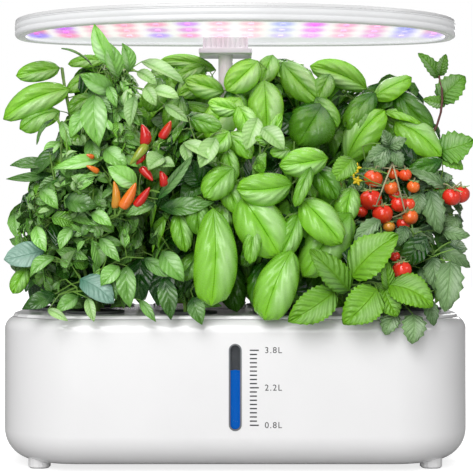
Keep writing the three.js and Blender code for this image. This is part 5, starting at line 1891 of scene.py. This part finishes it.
    def flowers(self, plant):
        """Small yellow flowers beside the tomatoes."""
        form = bmesh.new()
        for column, row in FLOWERS:
            centre = seen_at(column, row, FLOWER_DEPTH)
            face = Vector((0.1, -1, 0.3)).normalized()
            turn = face.to_track_quat("Z", "Y").to_matrix()
            for petal in range(PETALS):
                angle = FULL_TURN * petal / PETALS
                way = turn @ Vector((math.cos(angle), math.sin(angle), 0.25))
                rod_between(form, centre, centre + way * 2.4, 0.5, 1.35, 8)
                rod_between(form, centre + way * 2.4, centre + way * 4.6, 1.35, 0.2, 8)
            bud = bmesh.ops.create_icosphere(form, subdivisions=2, radius=1.2)
            bmesh.ops.translate(form, vec=centre + face * 0.6, verts=bud["verts"])
            plant.attach(centre - face * 1.5, -face, 0.5)
        finish_piece(form, "flowers_end_2", "pod_end_2", [petal_yellow()])


# Fittings that keep their CAD solids


CAD_FINISHES = {
    shell_white: ("deck_panel", "fill_cap", "foot_front_left", "foot_front_right",
                  "foot_back_left", "foot_back_right"),
    satin_white: ("board_cover", "mode_button", "pump_button", "pump_impeller"),
    dark_plastic: ("float_chamber", "pump_housing", "pump_cover", "dc_inlet"),
    dark_rubber: ("gauge_seal",),
    clear_hose: ("riser_hose",),
    float_blue: ("gauge_float",),
    circuit_green: ("driver_board",),
    screw_steel: ("socket_screw_left", "socket_screw_right"),
}


class GARDEN_OT_fittings(bpy.types.Operator):
    """Give the solid fittings their materials"""

    bl_idname = "garden.fittings"
    bl_label = "Dress Fittings"

    def execute(self, context):
        for finish, nodes in CAD_FINISHES.items():
            for name in nodes:
                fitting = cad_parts[name]
                fitting.data.materials.clear()
                fitting.data.materials.append(finish())
        return {"FINISHED"}


# Stage


# The studio's softboxes: name, the setting of its power, its place and its size in metres.
SOFTBOXES = (
    ("key_light", "key_power", (-0.55, -1.85, 1.7), 1.4),
    ("front_light", "front_power", (-0.4, -2.55, 0.5), 1.6),
    ("right_light", "fill_power", (1.6, -1.1, 0.8), 0.5),
    ("back_light", "back_power", (0.3, 2.0, 1.2), 1.5),
)
LIGHTS_AIM = (0, 0, 0.2)
FLOOR_RADIUS = 4000


class GARDEN_OT_stage(bpy.types.Operator):
    """Set up the floor, studio lights, background and camera"""

    bl_idname = "garden.stage"
    bl_label = "Set Stage"

    def execute(self, context):
        settings = context.scene.garden_stage
        self.camera(context)
        self.floor(settings)
        self.world(context, settings)
        for name, power, place, size in SOFTBOXES:
            self.softbox(name, place, size, getattr(settings, power))
        context.scene.view_settings.view_transform = "Standard"
        return {"FINISHED"}

    def camera(self, context):
        """A camera where the picture was taken from."""
        data = bpy.data.cameras.new("camera")
        data.sensor_width = SENSOR_WIDTH
        data.lens = FOCAL_POINTS / PICTURE_POINTS * SENSOR_WIDTH
        data.dof.use_dof = False
        camera = placed("camera", data)
        camera.location = Vector((VIEW_X, -VIEW_DISTANCE, VIEW_HEIGHT)) * MM
        camera.rotation_euler = (math.pi / 2, 0, 0)
        context.scene.camera = camera

    def softbox(self, name, place, size, power):
        """A square soft light that faces the garden."""
        data = bpy.data.lights.new(name, "AREA")
        data.shape = "SQUARE"
        data.size = size
        data.energy = power
        light = placed(name, data)
        light.location = place
        way = Vector(LIGHTS_AIM) - Vector(place)
        light.rotation_euler = way.to_track_quat("-Z", "Y").to_euler()

    def floor(self, settings):
        """A floor that shows white, keeps the garden's shadow and sends up little light."""
        form = bmesh.new()
        bmesh.ops.create_circle(form, cap_ends=True, segments=96, radius=FLOOR_RADIUS)
        bmesh.ops.scale(form, vec=(MM, MM, MM), verts=form.verts)
        floor = placed("floor", mesh_of(form, "floor"))
        material, tree, shader = new_material("Pale floor")
        place = object_place(tree)
        grain = noise_node(tree, place, 60.0, 4.0)
        color = tuple(settings.floor_color)
        dim = tuple(channel * 0.985 for channel in color)
        distance = add(tree, "VectorMath", {0: place}, operation="LENGTH").outputs["Value"]
        glow = product(tree, self.seen(tree), mapped(tree, distance, 0.30, 0.75, 0.78, 1.0))
        shader.inputs["Emission Color"].default_value = (1, 1, 1, 1)
        feed(tree, shader, Base_Color=mixed(tree, grain, dim, color), Emission_Strength=glow,
             Roughness=mapped(tree, grain, 0.3, 0.7, 0.55, 0.7))
        floor.data.materials.append(material)

    def seen(self, tree):
        """One where the camera sees a surface, directly or through a clear piece."""
        path = add(tree, "LightPath").outputs
        return math_node(tree, "MAXIMUM", path["Is Camera Ray"], path["Is Transmission Ray"])

    def world(self, context, settings):
        """Even light from all round, and pure white where it is seen directly."""
        world = bpy.data.worlds.new("Studio")
        world.use_nodes = True
        tree = world.node_tree
        tree.nodes.clear()
        strength = mapped(tree, self.seen(tree), 0.0, 1.0, settings.ambient, 1.0, smooth=False)
        light = add(tree, "Background", {"Color": (1, 1, 1, 1), "Strength": strength})
        add(tree, "OutputWorld", {"Surface": light.outputs[0]})
        context.scene.world = world


class GARDEN_PT_panel(bpy.types.Panel):
    """The garden's settings and building steps"""

    bl_idname = "GARDEN_PT_panel"
    bl_label = "Countertop Garden"
    bl_space_type = "VIEW_3D"
    bl_region_type = "UI"
    bl_category = "Garden"

    def draw(self, context):
        layout = self.layout
        for pointer in SETTINGS:
            settings = getattr(context.scene, pointer)
            box = layout.box()
            for name in type(settings).__annotations__:
                box.prop(settings, name)
        for step in STEPS:
            layout.operator(step.bl_idname)


SETTINGS = {
    "garden_tank": TankSettings,
    "garden_lamp": LampSettings,
    "garden_foliage": FoliageSettings,
    "garden_stage": StageSettings,
}
STEPS = (
    GARDEN_OT_stage, GARDEN_OT_tank, GARDEN_OT_gauge, GARDEN_OT_lamp, GARDEN_OT_pole,
    GARDEN_OT_pods, GARDEN_OT_fittings, GARDEN_OT_plants,
)


def register():
    for kind in (*SETTINGS.values(), *STEPS, GARDEN_PT_panel):
        bpy.utils.register_class(kind)
    for pointer, kind in SETTINGS.items():
        setattr(bpy.types.Scene, pointer, PointerProperty(type=kind))


def unregister():
    for pointer in SETTINGS:
        delattr(bpy.types.Scene, pointer)
    for kind in reversed((*SETTINGS.values(), *STEPS, GARDEN_PT_panel)):
        bpy.utils.unregister_class(kind)


def main():
    """Builds every piece."""
    register()
    for step in STEPS:
        group, name = step.bl_idname.split(".")
        getattr(getattr(bpy.ops, group), name)()


if __name__ == "__main__":
    main()
